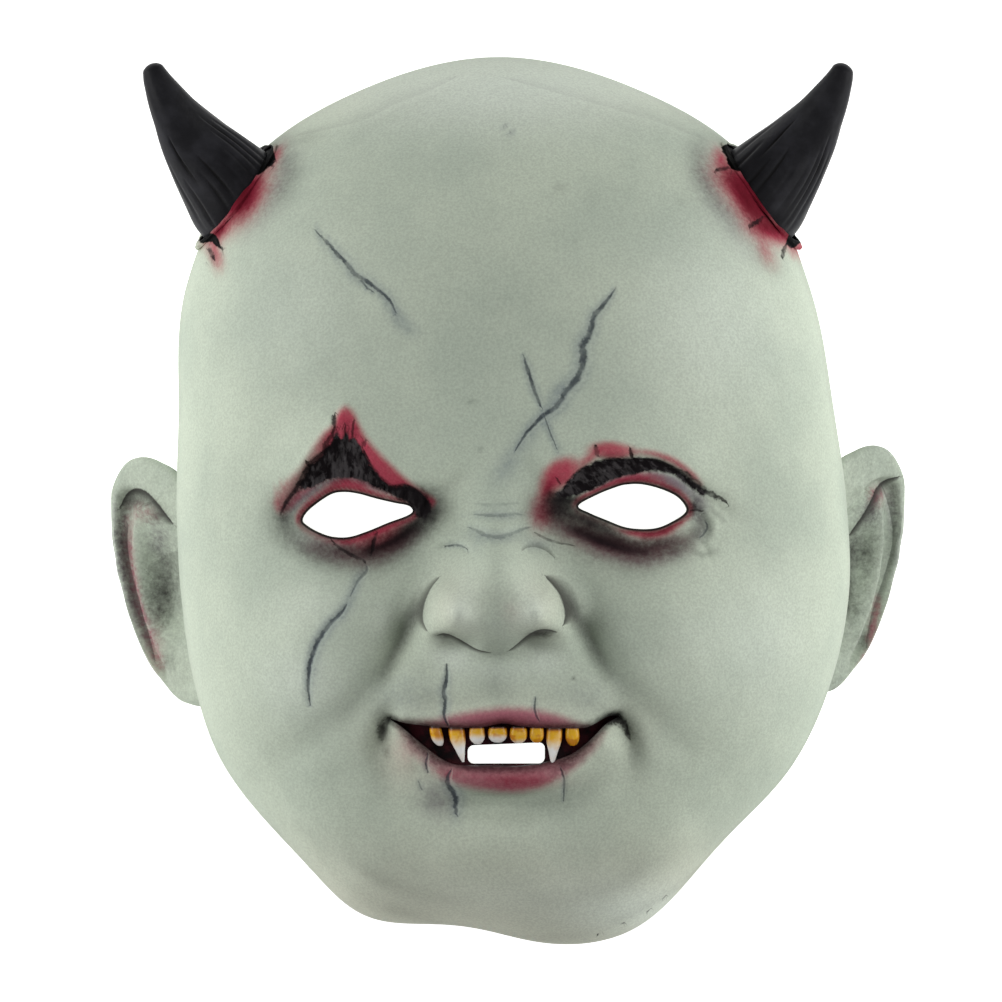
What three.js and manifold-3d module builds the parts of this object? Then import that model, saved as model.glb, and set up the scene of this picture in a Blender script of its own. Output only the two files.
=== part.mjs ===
// Devil mask of cast latex: a bald head skin with face, ears and teeth cast as one, and two horns.
// Millimetres. The mask lies face up on its rim: +Z out of the face, +Y to the crown, +X to the
// viewer's right. Face sizes are measured from the middle line between the horns, and the whole
// mask is moved at the end so that its origin is under the middle of its box.

import * as THREE from 'three';
import { LoftGeometry } from 'three/addons/geometries/LoftGeometry.js';
import { mergeVertices } from 'three/addons/utils/BufferGeometryUtils.js';
import Module from 'manifold-3d';

const wasm = await Module();
wasm.setup();

// Skin
const WALL = 2.5;
const NOSE_POLE = new THREE.Vector2(-1, -32);
const FACE_TOP = 135;
const FACE_ROUNDNESS = 2.3;
const RIM_CURL = 0.05;

// The forms of the face fade out between these shares of the rise from the waist to the face's top
const FORMS_FADE = [0.1, 0.6];
const RIDGE_END = 0.08;

// On the inside of the skin hollows are wider and swellings smaller, which keeps the wall thick
const HOLLOWS_INSIDE = 1.7;
const SOCKETS_INSIDE = 1.3;
const SWELLINGS_INSIDE = 0.86;

// Distance from the nose pole to the outline, every 15 degrees anticlockwise from the right cheek
const OUTLINE = [
  119, 122.5, 131.5, 150, 171.5, 180, 184.6, 179.5, 170.5, 150.2, 125.5, 113,
  107.5, 107, 108.5, 108, 108.5, 107.5, 106.5, 107.5, 109, 110.5, 114.5, 116.5,
];

// Height of the widest line over the rim: at the ears, and what the crown loses and the jaw gains
const WAIST_AT_EARS = 48;
const WAIST_DROP_AT_CROWN = 21;
const WAIST_RISE_AT_JAW = 40;

// Neck skin that comes out again behind the jaw, as [direction in degrees, width, how far]
const NECK_FOLDS = [[-70, 15, 13], [-112.5, 10, 6.8], [-95, 30, 2], [-84, 9, 2.6]];
const NECK_FOLD_START = [0.02, 0.3];
const NECK_ARCH = { middle: 5, halfWidth: 62, height: 60, start: -60 };

// Holes and mouth, as points on smooth outlines
const LEFT_EYE_HOLE = [
  [-64.4, -5.8], [-55.7, 1.9], [-46, 2.6], [-34.6, -0.6],
  [-28.8, -3.2], [-36.6, -6.8], [-49.2, -11.3], [-58.9, -10],
];
const RIGHT_EYE_HOLE = [
  [24.9, -1.6], [31.1, 1.9], [40.1, 5.2], [51.5, 3.9],
  [59.9, -1.9], [55.7, -6.5], [46.3, -9.1], [34, -6.1],
];
const MOUTH_OPENING = [
  [-36, -69.5], [-22, -72.4], [-2, -72.4], [13, -72.2], [28, -72.6], [37, -69],
  [32, -75], [22.2, -81.3], [16, -84], [7, -84.8], [-11.6, -84.8], [-19, -82.6], [-26, -77.5],
];
const MOUTH_HOLE = { middle: [1.8, -81.2], width: 25, height: 7, corner: 2.5 };
const GUM_DEPTH = 7;
const GUM_MARGIN = 3;
const GUM_LINE_BELOW = 3;

// Upper teeth from left to right: middle, width and length
const TOOTH_TOP = -71.5;
const TEETH = [
  [-20.3, 4.8, 7.2], [-14, 5.6, 12.6], [-7.7, 5.2, 6.8], [-1.1, 6, 6.2],
  [5.5, 5.6, 6.2], [11.3, 4.8, 6], [16.9, 5, 12.6], [22.5, 5.2, 7.4],
];
const FANG_LENGTH = 10;
const TOOTH_THICKNESS = 4.4;
const TOOTH_THINNING = 0.45;
const TOOTH_SIDES = 6;

// Rows down a tooth: share of the length, width in a plain tooth and width in a fang
const TOOTH_ROWS = [[0, 0.9, 0.95], [0.5, 1, 0.9], [1, 0.7, 0.12]];

// Horns: middle line on the right of the plane between them, and the width there
const HORN_PLANE = -1;
const HORN_LINE = [
  [77.5, 90.5, 52], [88.8, 104.2, 58], [101, 119.2, 64], [108.4, 130.2, 70], [113.6, 139.8, 74],
];
const HORN_TIP = [116, 146.2, 76];
const HORN_WIDTHS = [35, 36, 24.5, 16, 10];
const HORN_TIP_WIDTH = 6;
const HORN_FLATNESS = 0.88;
const HORN_GROOVES = 7;
const HORN_GROOVE_DEPTH = 0.9;
const HORN_CAP = { length: 0.3, share: 0.55 };
const HORN_SEAT = 0.3;

// Torn skin that stands up round the foot of each horn, widest towards the viewer
const COLLAR_HEIGHT = 3.2;
const COLLAR_WIDTH = 6;
const COLLAR_WIDTH_AT_SIDES = 2;
const COLLAR_TEAR = 1.2;
const COLLAR_GAP = 0.6;
const COLLAR_LENGTH = 0.45;
const COLLAR_ROWS = 6;

// Ears: root on the side of the head, outline in the ear's own plane, and the folds across it
const EAR_ROOTS = { left: [-106.2, -29, 40], right: [111, -25, 40] };
const EAR_LEAN = 9;
const EAR_FLARE = 42;
const EAR_OUTLINE = [
  [-7, 33], [6, 43], [21, 44], [33, 35], [38, 17], [37, -3],
  [32, -21], [24, -35], [13, -44], [-4, -40], [-9, -5],
];
const EAR_HOLLOW = [12, -1];

// Rows of an ear: share of the way from the hollow to the outline, and height over the ear's plane.
// Below these heights up the ear its folds run out into the plain lobe.
const EAR_FRONT = [[0.06, -5.4], [0.34, -5.8], [0.5, 0], [0.6, 2.4], [0.78, -0.8], [0.9, 3], [0.98, 2.4]];
const EAR_BACK = [[1, 0], [0.93, -3], [0.5, -9.5], [0.08, -11]];
const EAR_LOBE = [-34, -18];
const EAR_LOBE_HEIGHT = 1;

// How finely the surfaces are divided
const SKIN_AROUND = 68;
const SKIN_FRONT_ROWS = 24;
const SKIN_BACK_ROWS = 4;
const FIRST_RING = 0.02;
const EVEN_ROWS = 0.66;
const LINING_AROUND = 36;
const LINING_FRONT_ROWS = 13;
const LINING_BACK_ROWS = 3;
const EAR_AROUND = 18;
const HORN_AROUND = 20;
const HORN_ROWS = 8;

// How far the bodies that cut the skin reach
const BELOW_RIM = -6;
const BELOW_FACE = 60;
const ABOVE_FACE = 200;

const radians = THREE.MathUtils.degToRad;

// A closed mesh as a solid, with shared corners merged
function solid(geometry) {
  const bare = new THREE.BufferGeometry();
  bare.setAttribute('position', geometry.getAttribute('position'));
  bare.setIndex(geometry.index);
  const merged = mergeVertices(bare, 1e-4);
  const vertProperties = Float32Array.from(merged.attributes.position.array);
  const triVerts = Uint32Array.from(merged.index.array);
  return new wasm.Manifold(new wasm.Mesh({ numProp: 3, vertProperties, triVerts }));
}

// A closed body through rings of points, each turned so that its faces point outwards
function loft(rings) {
  const middle = Math.floor(rings.length / 2);
  const total = (ring) => ring.reduce((sum, point) => sum.add(point), new THREE.Vector3());
  const centre = (ring) => total(ring).divideScalar(ring.length);
  const hub = centre(rings[middle]);
  const facing = new THREE.Vector3();
  rings[middle].forEach((point, i, ring) => {
    const next = ring[(i + 1) % ring.length].clone().sub(hub);
    facing.add(point.clone().sub(hub).cross(next));
  });
  const travel = centre(rings.at(-1)).sub(centre(rings[0]));
  const turned = facing.dot(travel) < 0 ? rings.map((ring) => ring.toReversed()) : rings;
  return solid(new LoftGeometry(turned, { capStart: true, capEnd: true }));
}

// A solid as a named mesh in its own colour
function piece(name, body, finish) {
  const { vertProperties, triVerts } = body.getMesh();
  const geometry = new THREE.BufferGeometry();
  geometry.setAttribute('position', new THREE.BufferAttribute(vertProperties, 3));
  geometry.setIndex(new THREE.BufferAttribute(triVerts, 1));
  geometry.computeVertexNormals();
  const mesh = new THREE.Mesh(geometry, new THREE.MeshStandardMaterial(finish));
  mesh.name = name;
  return mesh;
}

// A prism over a closed smooth outline, from one height to another
function prism(outline, bottom, top, steps = 3) {
  const line = new THREE.SplineCurve([...outline, outline[0]].map(([x, y]) => new THREE.Vector2(x, y)));
  const shape = new THREE.Shape(line.getPoints(outline.length * steps).slice(0, -1));
  const geometry = new THREE.ExtrudeGeometry(shape, { depth: top - bottom, bevelEnabled: false });
  geometry.translate(0, 0, bottom);
  return solid(geometry);
}

// Outline radius at an angle: a smooth curve through the driving radii
function outlineRadius(angle) {
  const place = THREE.MathUtils.euclideanModulo(angle / radians(360 / OUTLINE.length), OUTLINE.length);
  const at = Math.floor(place);
  const f = place - at;
  const radius = (k) => OUTLINE[(at + k + OUTLINE.length) % OUTLINE.length];
  const [a, b, c, d] = [radius(-1), radius(0), radius(1), radius(2)];
  return b + 0.5 * f * (c - a + f * (2 * a - 5 * b + 4 * c - d + f * (3 * (b - c) + d - a)));
}

// Height of the widest line at an angle
function waistHeight(angle) {
  const up = Math.sin(angle);
  return WAIST_AT_EARS + (up > 0 ? -WAIST_DROP_AT_CROWN : WAIST_RISE_AT_JAW) * up * up;
}

// A smooth swelling of height 1: round, or longer upwards, downwards or along its own turn
function swell(x, y, [cx, cy], across, above, below = above, turn = 0, roundness = 1) {
  const c = Math.cos(radians(turn));
  const s = Math.sin(radians(turn));
  const u = (x - cx) * c + (y - cy) * s;
  const v = (y - cy) * c - (x - cx) * s;
  const reach = (u / across) ** 2 + (v / (v > 0 ? above : below)) ** 2;
  return Math.exp(-(reach ** roundness));
}

// A smooth ridge of height 1 along a bent line, which fades out at both ends
function ridge(x, y, line, width) {
  let best = Infinity;
  let along = 0;
  const spans = line.length - 1;
  for (let i = 0; i < spans; i++) {
    const [ax, ay] = line[i];
    const dx = line[i + 1][0] - ax;
    const dy = line[i + 1][1] - ay;
    const f = THREE.MathUtils.clamp(((x - ax) * dx + (y - ay) * dy) / (dx * dx + dy * dy), 0, 1);
    const gap = Math.hypot(x - ax - f * dx, y - ay - f * dy);
    if (gap < best) {
      best = gap;
      along = (i + f) / spans;
    }
  }
  const end = Math.sqrt(Math.sin(Math.PI * THREE.MathUtils.lerp(RIDGE_END, 1 - RIDGE_END, along)));
  return Math.exp(-((best / width) ** 2)) * end;
}

// Forms of the face over the plain dome, as a height at a place on the face
function faceForms(x, y, inside) {
  const wider = inside ? HOLLOWS_INSIDE : 1;
  const wide = inside ? SOCKETS_INSIDE : 1;
  const smaller = inside ? SWELLINGS_INSIDE : 1;
  const at = (place, across, above, below = above, turn = 0, roundness = 1) => (
    smaller * swell(x, y, place, across * smaller, above * smaller, below * smaller, turn, roundness)
  );
  const along = (line, width) => smaller * ridge(x, y, line, width * smaller);
  const fold = (line, width) => ridge(x, y, line, width * wider);
  const socket = (place, across, above) => swell(x, y, place, across * wide, above * wide);
  const dip = (place, across, above, turn = 0) => (
    swell(x, y, place, across * wider, above * wider, above * wider, turn)
  );
  return (
    // Forehead, brows and the frown between them
    3 * at([-36, 78], 38, 34) + 3 * at([36, 78], 38, 34)
    + 4.5 * along([[-72, 2], [-62, 17], [-50, 24], [-36, 14], [-22, 1]], 9)
    + 4.5 * along([[14, 1], [27, 12], [42, 15], [58, 12], [70, 2]], 9)
    - 2.5 * fold([[-21, 6], [-14, 9], [-9, 14]], 4)
    // Eye sockets with the lids standing out in them
    - 9 * socket([-46, -4], 27, 13) - 9 * socket([42.5, -2], 27, 13)
    + 4.5 * at([-46, -5], 19, 9) + 4.5 * at([42.5, -2.5], 19, 9)
    // Nose: bridge, tip, wings and nostrils
    + 8 * along([[-1.5, 4], [-1.5, -8], [-1.5, -24]], 9)
    + 20 * at([-1.5, -33.5], 16, 20, 13, 0, 1.8)
    + 11 * at([-19.5, -37], 8.5, 10, 8.5, 0, 1.5) + 11 * at([17, -37], 8.5, 10, 8.5, 0, 1.5)
    - 3 * dip([-11.5, -45], 5, 2.6) - 3 * dip([8, -45], 5, 2.6)
    // Cheeks, with the folds that run from the nose past the mouth
    + 7 * at([-63, -48], 27, 24) + 7 * at([60, -48], 27, 24)
    - 4 * fold([[-24, -30], [-30, -42], [-40, -58], [-53, -72], [-70, -84]], 5)
    - 4 * fold([[20, -30], [27, -42], [36, -56], [47, -68], [60, -80]], 5)
    // Muzzle, lips and the corners of the mouth
    + 5 * at([-1, -63], 30, 13)
    - 1.2 * fold([[-1.5, -51], [-1.5, -66]], 3)
    + 3 * along([[-30, -69], [-12, -70], [-2, -68.5], [9, -69], [29, -71.5]], 3)
    + 5 * along([[-27, -81], [-12, -88], [4, -89.5], [18, -87.5], [31, -79]], 5)
    - 4 * dip([-38, -74], 4, 9, -15) - 4 * dip([40, -74], 4, 9, 20)
    // Chin and jowls
    - 4 * dip([-1, -99], 20, 5)
    + 7 * at([-1, -116], 24, 15)
    + 3 * at([-52, -104], 24, 16, 16, -40) + 3 * at([52, -104], 24, 16, 16, 40)
  );
}

// A point of the skin: direction round the nose pole, and 0 at the pole, 1 at the waist, 2 at the rim
function skinPoint(angle, travel, inside = false) {
  const radius = outlineRadius(angle);
  const waist = waistHeight(angle);
  const direction = new THREE.Vector2(Math.cos(angle), Math.sin(angle));
  if (travel <= 1) {
    const turn = (Math.PI / 2) * travel * THREE.MathUtils.lerp(EVEN_ROWS, 1, travel);
    const out = radius * Math.sin(turn) ** (2 / FACE_ROUNDNESS);
    const rise = Math.max(Math.cos(turn), 0) ** (2 / FACE_ROUNDNESS);
    const flat = direction.multiplyScalar(out).add(NOSE_POLE);
    const shown = THREE.MathUtils.smoothstep(rise, ...FORMS_FADE);
    const height = waist + (FACE_TOP - waist) * rise + faceForms(flat.x, flat.y, inside) * shown;
    return new THREE.Vector3(flat.x, flat.y, height);
  }
  const back = travel - 1;
  let out = radius * (1 - RIM_CURL * back * back);
  const folded = THREE.MathUtils.smoothstep(back, ...NECK_FOLD_START);
  for (const [middle, width, far] of NECK_FOLDS) {
    const away = THREE.MathUtils.euclideanModulo(angle - radians(middle) + Math.PI, 2 * Math.PI) - Math.PI;
    out += far * Math.exp(-((away / radians(width)) ** 2)) * folded;
  }
  const flat = direction.multiplyScalar(out).add(NOSE_POLE);
  return new THREE.Vector3(flat.x, flat.y, waist * (1 - back));
}

// The same point set inwards by a depth along the surface normal
function skinPointInside(angle, travel, depth) {
  if (depth === 0) {
    return skinPoint(angle, travel);
  }
  const step = 0.01;
  const here = skinPoint(angle, travel, true);
  const before = Math.max(travel - step, step / 10);
  const after = Math.min(travel + step, 2);
  const outward = skinPoint(angle, after, true).sub(skinPoint(angle, before, true));
  const sideways = skinPoint(angle + step, travel, true);
  sideways.sub(skinPoint(angle - step, travel, true));
  const normal = outward.clone().cross(sideways).normalize();
  here.addScaledVector(normal, -depth);
  if (travel === 2) {
    here.z = 0;
  }
  return here;
}

// The whole dome as a filled solid, set in by a depth and lowered; its foot reaches down to a height
function dome(depth, drop, foot, around, frontRows, backRows) {
  const travels = [];
  for (let i = 0; i <= frontRows; i++) {
    travels.push(THREE.MathUtils.lerp(FIRST_RING, 1, i / frontRows));
  }
  for (let i = 1; i <= backRows; i++) {
    travels.push(1 + i / backRows);
  }
  const rings = travels.map((travel) => {
    const ring = [];
    for (let i = 0; i < around; i++) {
      const point = skinPointInside((2 * Math.PI * i) / around, travel, depth);
      point.z -= drop;
      ring.push(point);
    }
    return ring;
  });
  if (foot < 0) {
    rings.push(rings.at(-1).map((point) => new THREE.Vector3(point.x, point.y, foot)));
  }
  return loft(rings);
}

// The space inside the skin at a depth, run out below the rim; a depth below 0 lies over the skin
function lining(depth, drop = 0) {
  return dome(depth, drop, BELOW_RIM - drop, LINING_AROUND, LINING_FRONT_ROWS, LINING_BACK_ROWS);
}

// An ear: a shell-shaped body between a folded front and a plain back, in a leaning plane
function ear(side, place) {
  const lean = radians(EAR_LEAN);
  const flare = radians(EAR_FLARE);
  const root = new THREE.Vector3(...place);
  const up = new THREE.Vector3(side * Math.sin(lean), Math.cos(lean), 0);
  const across = new THREE.Vector3(side * Math.sin(flare), 0, -Math.cos(flare));
  const out = new THREE.Vector3(side * Math.cos(flare), 0, Math.sin(flare));
  const line = new THREE.CatmullRomCurve3(EAR_OUTLINE.map(([a, b]) => new THREE.Vector3(a, b, 0)), true);
  const rim = line.getPoints(EAR_AROUND).slice(0, -1);
  const rings = [...EAR_FRONT, ...EAR_BACK].map(([share, height], row) => rim.map((edge) => {
    const a = THREE.MathUtils.lerp(EAR_HOLLOW[0], edge.x, share);
    const b = THREE.MathUtils.lerp(EAR_HOLLOW[1], edge.y, share);
    const front = row < EAR_FRONT.length;
    const lobe = THREE.MathUtils.smoothstep(b, ...EAR_LOBE);
    const folded = front ? THREE.MathUtils.lerp(EAR_LOBE_HEIGHT, height, lobe) : height;
    return root.clone().addScaledVector(across, a).addScaledVector(up, b).addScaledVector(out, folded);
  }));
  return loft(rings);
}

// A horn, or the space or torn skin round it, with an extra width towards the viewer and at the sides
function horn(side, extra = 0, extraAtSides = extra, tear = 0, rows = HORN_ROWS, length = 1) {
  const mirror = ([x, y, z]) => new THREE.Vector3(HORN_PLANE + side * x, y, z);
  const line = new THREE.CatmullRomCurve3([...HORN_LINE, HORN_TIP].map(mirror));
  const rings = [];
  for (let row = 0; row <= rows; row++) {
    const share = (row / rows) * length;
    const place = share * HORN_LINE.length;
    const at = Math.min(Math.floor(place), HORN_LINE.length - 1);
    const widths = [...HORN_WIDTHS, HORN_TIP_WIDTH];
    const width = THREE.MathUtils.lerp(widths[at], widths[at + 1], place - at);
    const middle = line.getPoint(share);
    const along = line.getTangent(share);
    const toViewer = new THREE.Vector3(0, 0, 1).addScaledVector(along, -along.z).normalize();
    const sideways = new THREE.Vector3().crossVectors(along, toViewer);
    const ring = [];
    for (let i = 0; i < HORN_AROUND; i++) {
      const turn = (2 * Math.PI * i) / HORN_AROUND;
      const groove = HORN_GROOVE_DEPTH * (1 - share) * Math.max(Math.cos(HORN_GROOVES * turn), 0);
      const torn = tear * (Math.cos(5 * turn + side) + 0.4 * Math.cos(3 * turn));
      const margin = THREE.MathUtils.lerp(extraAtSides, extra, Math.abs(Math.sin(turn)));
      const reach = width / 2 + margin + torn - (extra === 0 ? groove : 0);
      const point = middle.clone();
      point.addScaledVector(sideways, reach * Math.cos(turn));
      point.addScaledVector(toViewer, reach * HORN_FLATNESS * Math.sin(turn));
      ring.push(point);
    }
    rings.push(ring);
  }
  if (length === 1) {
    const beyond = HORN_TIP_WIDTH * HORN_CAP.length + extra;
    const tip = mirror(HORN_TIP).addScaledVector(line.getTangent(1), beyond);
    rings.push(rings.at(-1).map((point) => point.clone().lerp(tip, HORN_CAP.share)));
  }
  return loft(rings);
}

// A tooth: a rounded peg that narrows to its biting edge, and to a point in a fang
function tooth([middle, width, length], gumFront) {
  const rings = TOOTH_ROWS.map(([share, plain, pointed]) => {
    const reach = (width / 2) * (length > FANG_LENGTH ? pointed : plain);
    const depth = (TOOTH_THICKNESS / 2) * (1 - TOOTH_THINNING * share ** 3);
    const ring = [];
    for (let i = 0; i < TOOTH_SIDES; i++) {
      const turn = (2 * Math.PI * (i + 0.5)) / TOOTH_SIDES;
      ring.push(new THREE.Vector3(
        middle + reach * Math.cos(turn),
        TOOTH_TOP - share * length,
        gumFront + depth * Math.sin(turn),
      ));
    }
    return ring;
  });
  return loft(rings);
}

// Height of the face at a place, found on the ray from the nose pole
function faceHeight(x, y) {
  const away = new THREE.Vector2(x, y).sub(NOSE_POLE);
  const halvings = 30;
  let low = 0;
  let high = 1;
  for (let i = 0; i < halvings; i++) {
    const middle = (low + high) / 2;
    const point = skinPoint(away.angle(), middle);
    const reached = Math.hypot(point.x - NOSE_POLE.x, point.y - NOSE_POLE.y);
    if (reached < away.length()) {
      low = middle;
    } else {
      high = middle;
    }
  }
  return skinPoint(away.angle(), low).z;
}

// Skin of the head, hollow and open behind
const filledHead = dome(0, 0, 0, SKIN_AROUND, SKIN_FRONT_ROWS, SKIN_BACK_ROWS);
const hollow = lining(WALL);
let skin = filledHead.add(ear(-1, EAR_ROOTS.left)).add(ear(1, EAR_ROOTS.right));

// Torn skin round the horns
for (const side of [-1, 1]) {
  const torn = horn(side, COLLAR_WIDTH, COLLAR_WIDTH_AT_SIDES, COLLAR_TEAR, COLLAR_ROWS, COLLAR_LENGTH);
  skin = skin.add(torn.intersect(lining(-COLLAR_HEIGHT)));
}
skin = skin.subtract(hollow);

// Mouth: a pocket with the gum at its back
const aroundMouth = MOUTH_OPENING.map(([x, y], i, line) => {
  const before = line.at(i - 1);
  const after = line[(i + 1) % line.length];
  const outward = new THREE.Vector2(before[1] - after[1], after[0] - before[0]).setLength(GUM_MARGIN);
  return [x + outward.x, y + outward.y];
});
const mouthBlock = prism(aroundMouth, BELOW_FACE, ABOVE_FACE).intersect(filledHead);
const pocketWall = mouthBlock.subtract(lining(WALL, GUM_DEPTH));
const pocket = prism(MOUTH_OPENING, BELOW_FACE, ABOVE_FACE).subtract(lining(0, GUM_DEPTH));
skin = skin.add(pocketWall).subtract(pocket);
for (const row of TEETH) {
  const gumFront = faceHeight(row[0], TOOTH_TOP - GUM_LINE_BELOW) - GUM_DEPTH;
  skin = skin.add(tooth(row, gumFront));
}

// Holes through the skin: eyes, mouth and the arch for the neck
const [mouthX, mouthY] = MOUTH_HOLE.middle;
const [halfX, halfY] = [MOUTH_HOLE.width / 2, MOUTH_HOLE.height / 2];
const corner = MOUTH_HOLE.corner;
const mouthHole = new THREE.Shape();
mouthHole.absarc(mouthX + halfX - corner, mouthY + halfY - corner, corner, 0, Math.PI / 2);
mouthHole.absarc(mouthX - halfX + corner, mouthY + halfY - corner, corner, Math.PI / 2, Math.PI);
mouthHole.absarc(mouthX - halfX + corner, mouthY - halfY + corner, corner, Math.PI, 1.5 * Math.PI);
mouthHole.absarc(mouthX + halfX - corner, mouthY - halfY + corner, corner, 1.5 * Math.PI, 2 * Math.PI);
const straight = { depth: ABOVE_FACE, bevelEnabled: false };
const mouthCutter = new THREE.ExtrudeGeometry(mouthHole, { ...straight, curveSegments: 3 });
const archShape = new THREE.Shape();
archShape.absellipse(0, 0, NECK_ARCH.halfWidth, NECK_ARCH.height, 0, 2 * Math.PI);
const archCutter = new THREE.ExtrudeGeometry(archShape, { ...straight, curveSegments: 10 });
archCutter.rotateX(Math.PI / 2);
archCutter.translate(NECK_ARCH.middle, NECK_ARCH.start, 0);
for (const cutter of [
  prism(LEFT_EYE_HOLE, BELOW_FACE, ABOVE_FACE),
  prism(RIGHT_EYE_HOLE, BELOW_FACE, ABOVE_FACE),
  solid(mouthCutter),
  solid(archCutter),
]) {
  skin = skin.subtract(cutter);
}

// Horns, seated on the skin with a hair's gap
const filledSeat = lining(-HORN_SEAT);
const horns = [];
for (const [side, name] of [[-1, 'horn_left'], [1, 'horn_right']]) {
  skin = skin.subtract(horn(side, COLLAR_GAP).subtract(filledHead));
  const cut = horn(side).subtract(filledSeat).subtract(filledHead);
  horns.push(piece(name, cut, { color: 0x232325, roughness: 0.55, metalness: 0 }));
}

const mask = new THREE.Group();
mask.add(piece('mask_shell', skin, { color: 0xb4bbac, roughness: 0.62, metalness: 0 }), ...horns);

// Origin under the middle of the whole mask
const box = new THREE.Box3().setFromObject(mask);
const middle = box.getCenter(new THREE.Vector3());
mask.position.set(-middle.x, -middle.y, -box.min.z);

export default mask;
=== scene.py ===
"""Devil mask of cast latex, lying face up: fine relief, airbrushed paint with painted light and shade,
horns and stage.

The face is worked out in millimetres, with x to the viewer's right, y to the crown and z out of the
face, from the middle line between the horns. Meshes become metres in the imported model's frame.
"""

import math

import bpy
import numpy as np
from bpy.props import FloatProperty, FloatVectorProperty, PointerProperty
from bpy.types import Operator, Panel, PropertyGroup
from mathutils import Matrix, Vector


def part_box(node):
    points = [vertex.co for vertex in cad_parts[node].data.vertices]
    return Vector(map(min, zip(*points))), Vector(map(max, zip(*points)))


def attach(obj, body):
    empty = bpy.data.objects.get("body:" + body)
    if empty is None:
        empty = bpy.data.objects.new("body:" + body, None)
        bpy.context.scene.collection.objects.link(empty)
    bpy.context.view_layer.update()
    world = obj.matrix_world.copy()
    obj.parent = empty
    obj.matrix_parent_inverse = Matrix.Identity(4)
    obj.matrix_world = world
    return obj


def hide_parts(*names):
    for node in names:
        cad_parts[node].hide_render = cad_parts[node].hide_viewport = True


bl_info = {
    "name": "Devil mask",
    "version": (1, 0, 0),
    "blender": (4, 5, 0),
    "location": "3D View > Sidebar > Mask",
    "description": "Builds the relief, paint and stage of a latex devil mask round its packed model",
    "category": "Object",
}

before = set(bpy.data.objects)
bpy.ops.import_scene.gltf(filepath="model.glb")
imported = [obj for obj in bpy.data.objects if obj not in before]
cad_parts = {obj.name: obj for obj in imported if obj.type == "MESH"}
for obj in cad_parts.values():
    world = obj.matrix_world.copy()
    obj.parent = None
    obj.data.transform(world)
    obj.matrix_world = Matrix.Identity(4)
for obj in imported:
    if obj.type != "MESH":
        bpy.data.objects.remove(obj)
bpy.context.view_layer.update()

MM = 0.001

# Head: the values that the solid model is built from
NOSE_POLE = (-1.0, -32.0)
FACE_TOP = 135.0
FACE_ROUNDNESS = 2.3
RIM_CURL = 0.05
OUTLINE = np.array([
    119, 122.5, 131.5, 150, 171.5, 180, 184.6, 179.5, 170.5, 150.2, 125.5, 113,
    107.5, 107, 108.5, 108, 108.5, 107.5, 106.5, 107.5, 109, 110.5, 114.5, 116.5,
])
OUTLINE_STEP = math.radians(15)
CROWN_RADIUS = OUTLINE[6]
WAIST_AT_EARS = 48.0
WAIST_DROP_AT_CROWN = 21.0
WAIST_RISE_AT_JAW = 40.0
NECK_FOLDS = ((-70, 15, 13), (-112.5, 10, 6.8), (-95, 30, 2), (-84, 9, 2.6))
NECK_FILL = 0.8
NECK_ARCH = {"middle": 5.0, "half_width": 62.0, "height": 60.0, "run": (-60.0, -175.0)}
WALL = 2.5
HOLLOWS_INSIDE = 1.7
SOCKETS_INSIDE = 1.3
SWELLINGS_INSIDE = 0.86

# How far the hollow is cut past the rim, the heights between which eye holes and mouth are cut, and the
# angle from which an edge stays sharp
BELOW_RIM = -6.0
HOLE_CUT = (70.0, 190.0)
SHARP_ANGLE = math.radians(50)

# Where the face's own zero lies in the model's frame, with the plane between the horns just left of it
HORN_PLANE = -1.0
SHIFT_X = ((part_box("horn_left")[0].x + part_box("horn_right")[1].x) / 2) / MM - HORN_PLANE
SHIFT_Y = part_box("mask_shell")[1].y / MM - (NOSE_POLE[1] + CROWN_RADIUS)

# Eye holes and mouth, as points on smooth lines
LEFT_EYE = (
    (-64.5, -6), (-62, -2.5), (-55.5, 2), (-51, 2.9), (-46, 2.3), (-40.5, 0.8), (-34.5, -0.6), (-30, -1.5),
    (-28.5, -3.2), (-30.5, -4.8), (-36.5, -7), (-42.5, -9.5), (-49, -11.6), (-54.5, -11.6), (-59, -10.2),
    (-63, -8),
)
RIGHT_EYE = (
    (25, -1.5), (31, 2), (37, 4.4), (40.5, 5.3), (45.5, 5.4), (51.5, 4), (57, 1.5), (60, -2),
    (59.4, -4.2), (55.5, -6.7), (51, -8.6), (46, -9.1), (40, -8.4), (34, -6.1), (28.5, -3.8),
)
UPPER_LIP_EDGE = (
    (-35.6, -70.4), (-31, -71.6), (-26, -72.2), (-20, -72.8), (-12, -73), (-5, -72.6), (0.5, -71.4),
    (6, -72.4), (13, -73), (20, -73.2), (27, -73), (30.5, -71.6), (34.5, -69.6), (37.6, -69.4),
)
LOWER_LIP_EDGE = (
    (-35.6, -70.8), (-32, -73), (-27.9, -76.4), (-22.2, -81), (-17.4, -84), (-12.5, -85.2), (-3, -85.5),
    (6.1, -85.5), (14.2, -84.4), (22.3, -81.8), (27.2, -78.4), (30.4, -75.4), (33.6, -72.2), (37.6, -70),
)

# The hole cut through the gum: a rounded oblong whose upper edge rises to the right
MOUTH_HOLE = {"middle": (1.7, -81.8), "size": (25.0, 6.5), "corner": 2.0, "rise": 1.0}

# The gum's depth behind the dome, and how far the slab that carries it reaches past the mouth's edge and
# ends under the skin
GUM_BEHIND = 7.0
MOUTH_MARGIN = 3.0
MOUTH_UNDER_SKIN = 3.2

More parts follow.
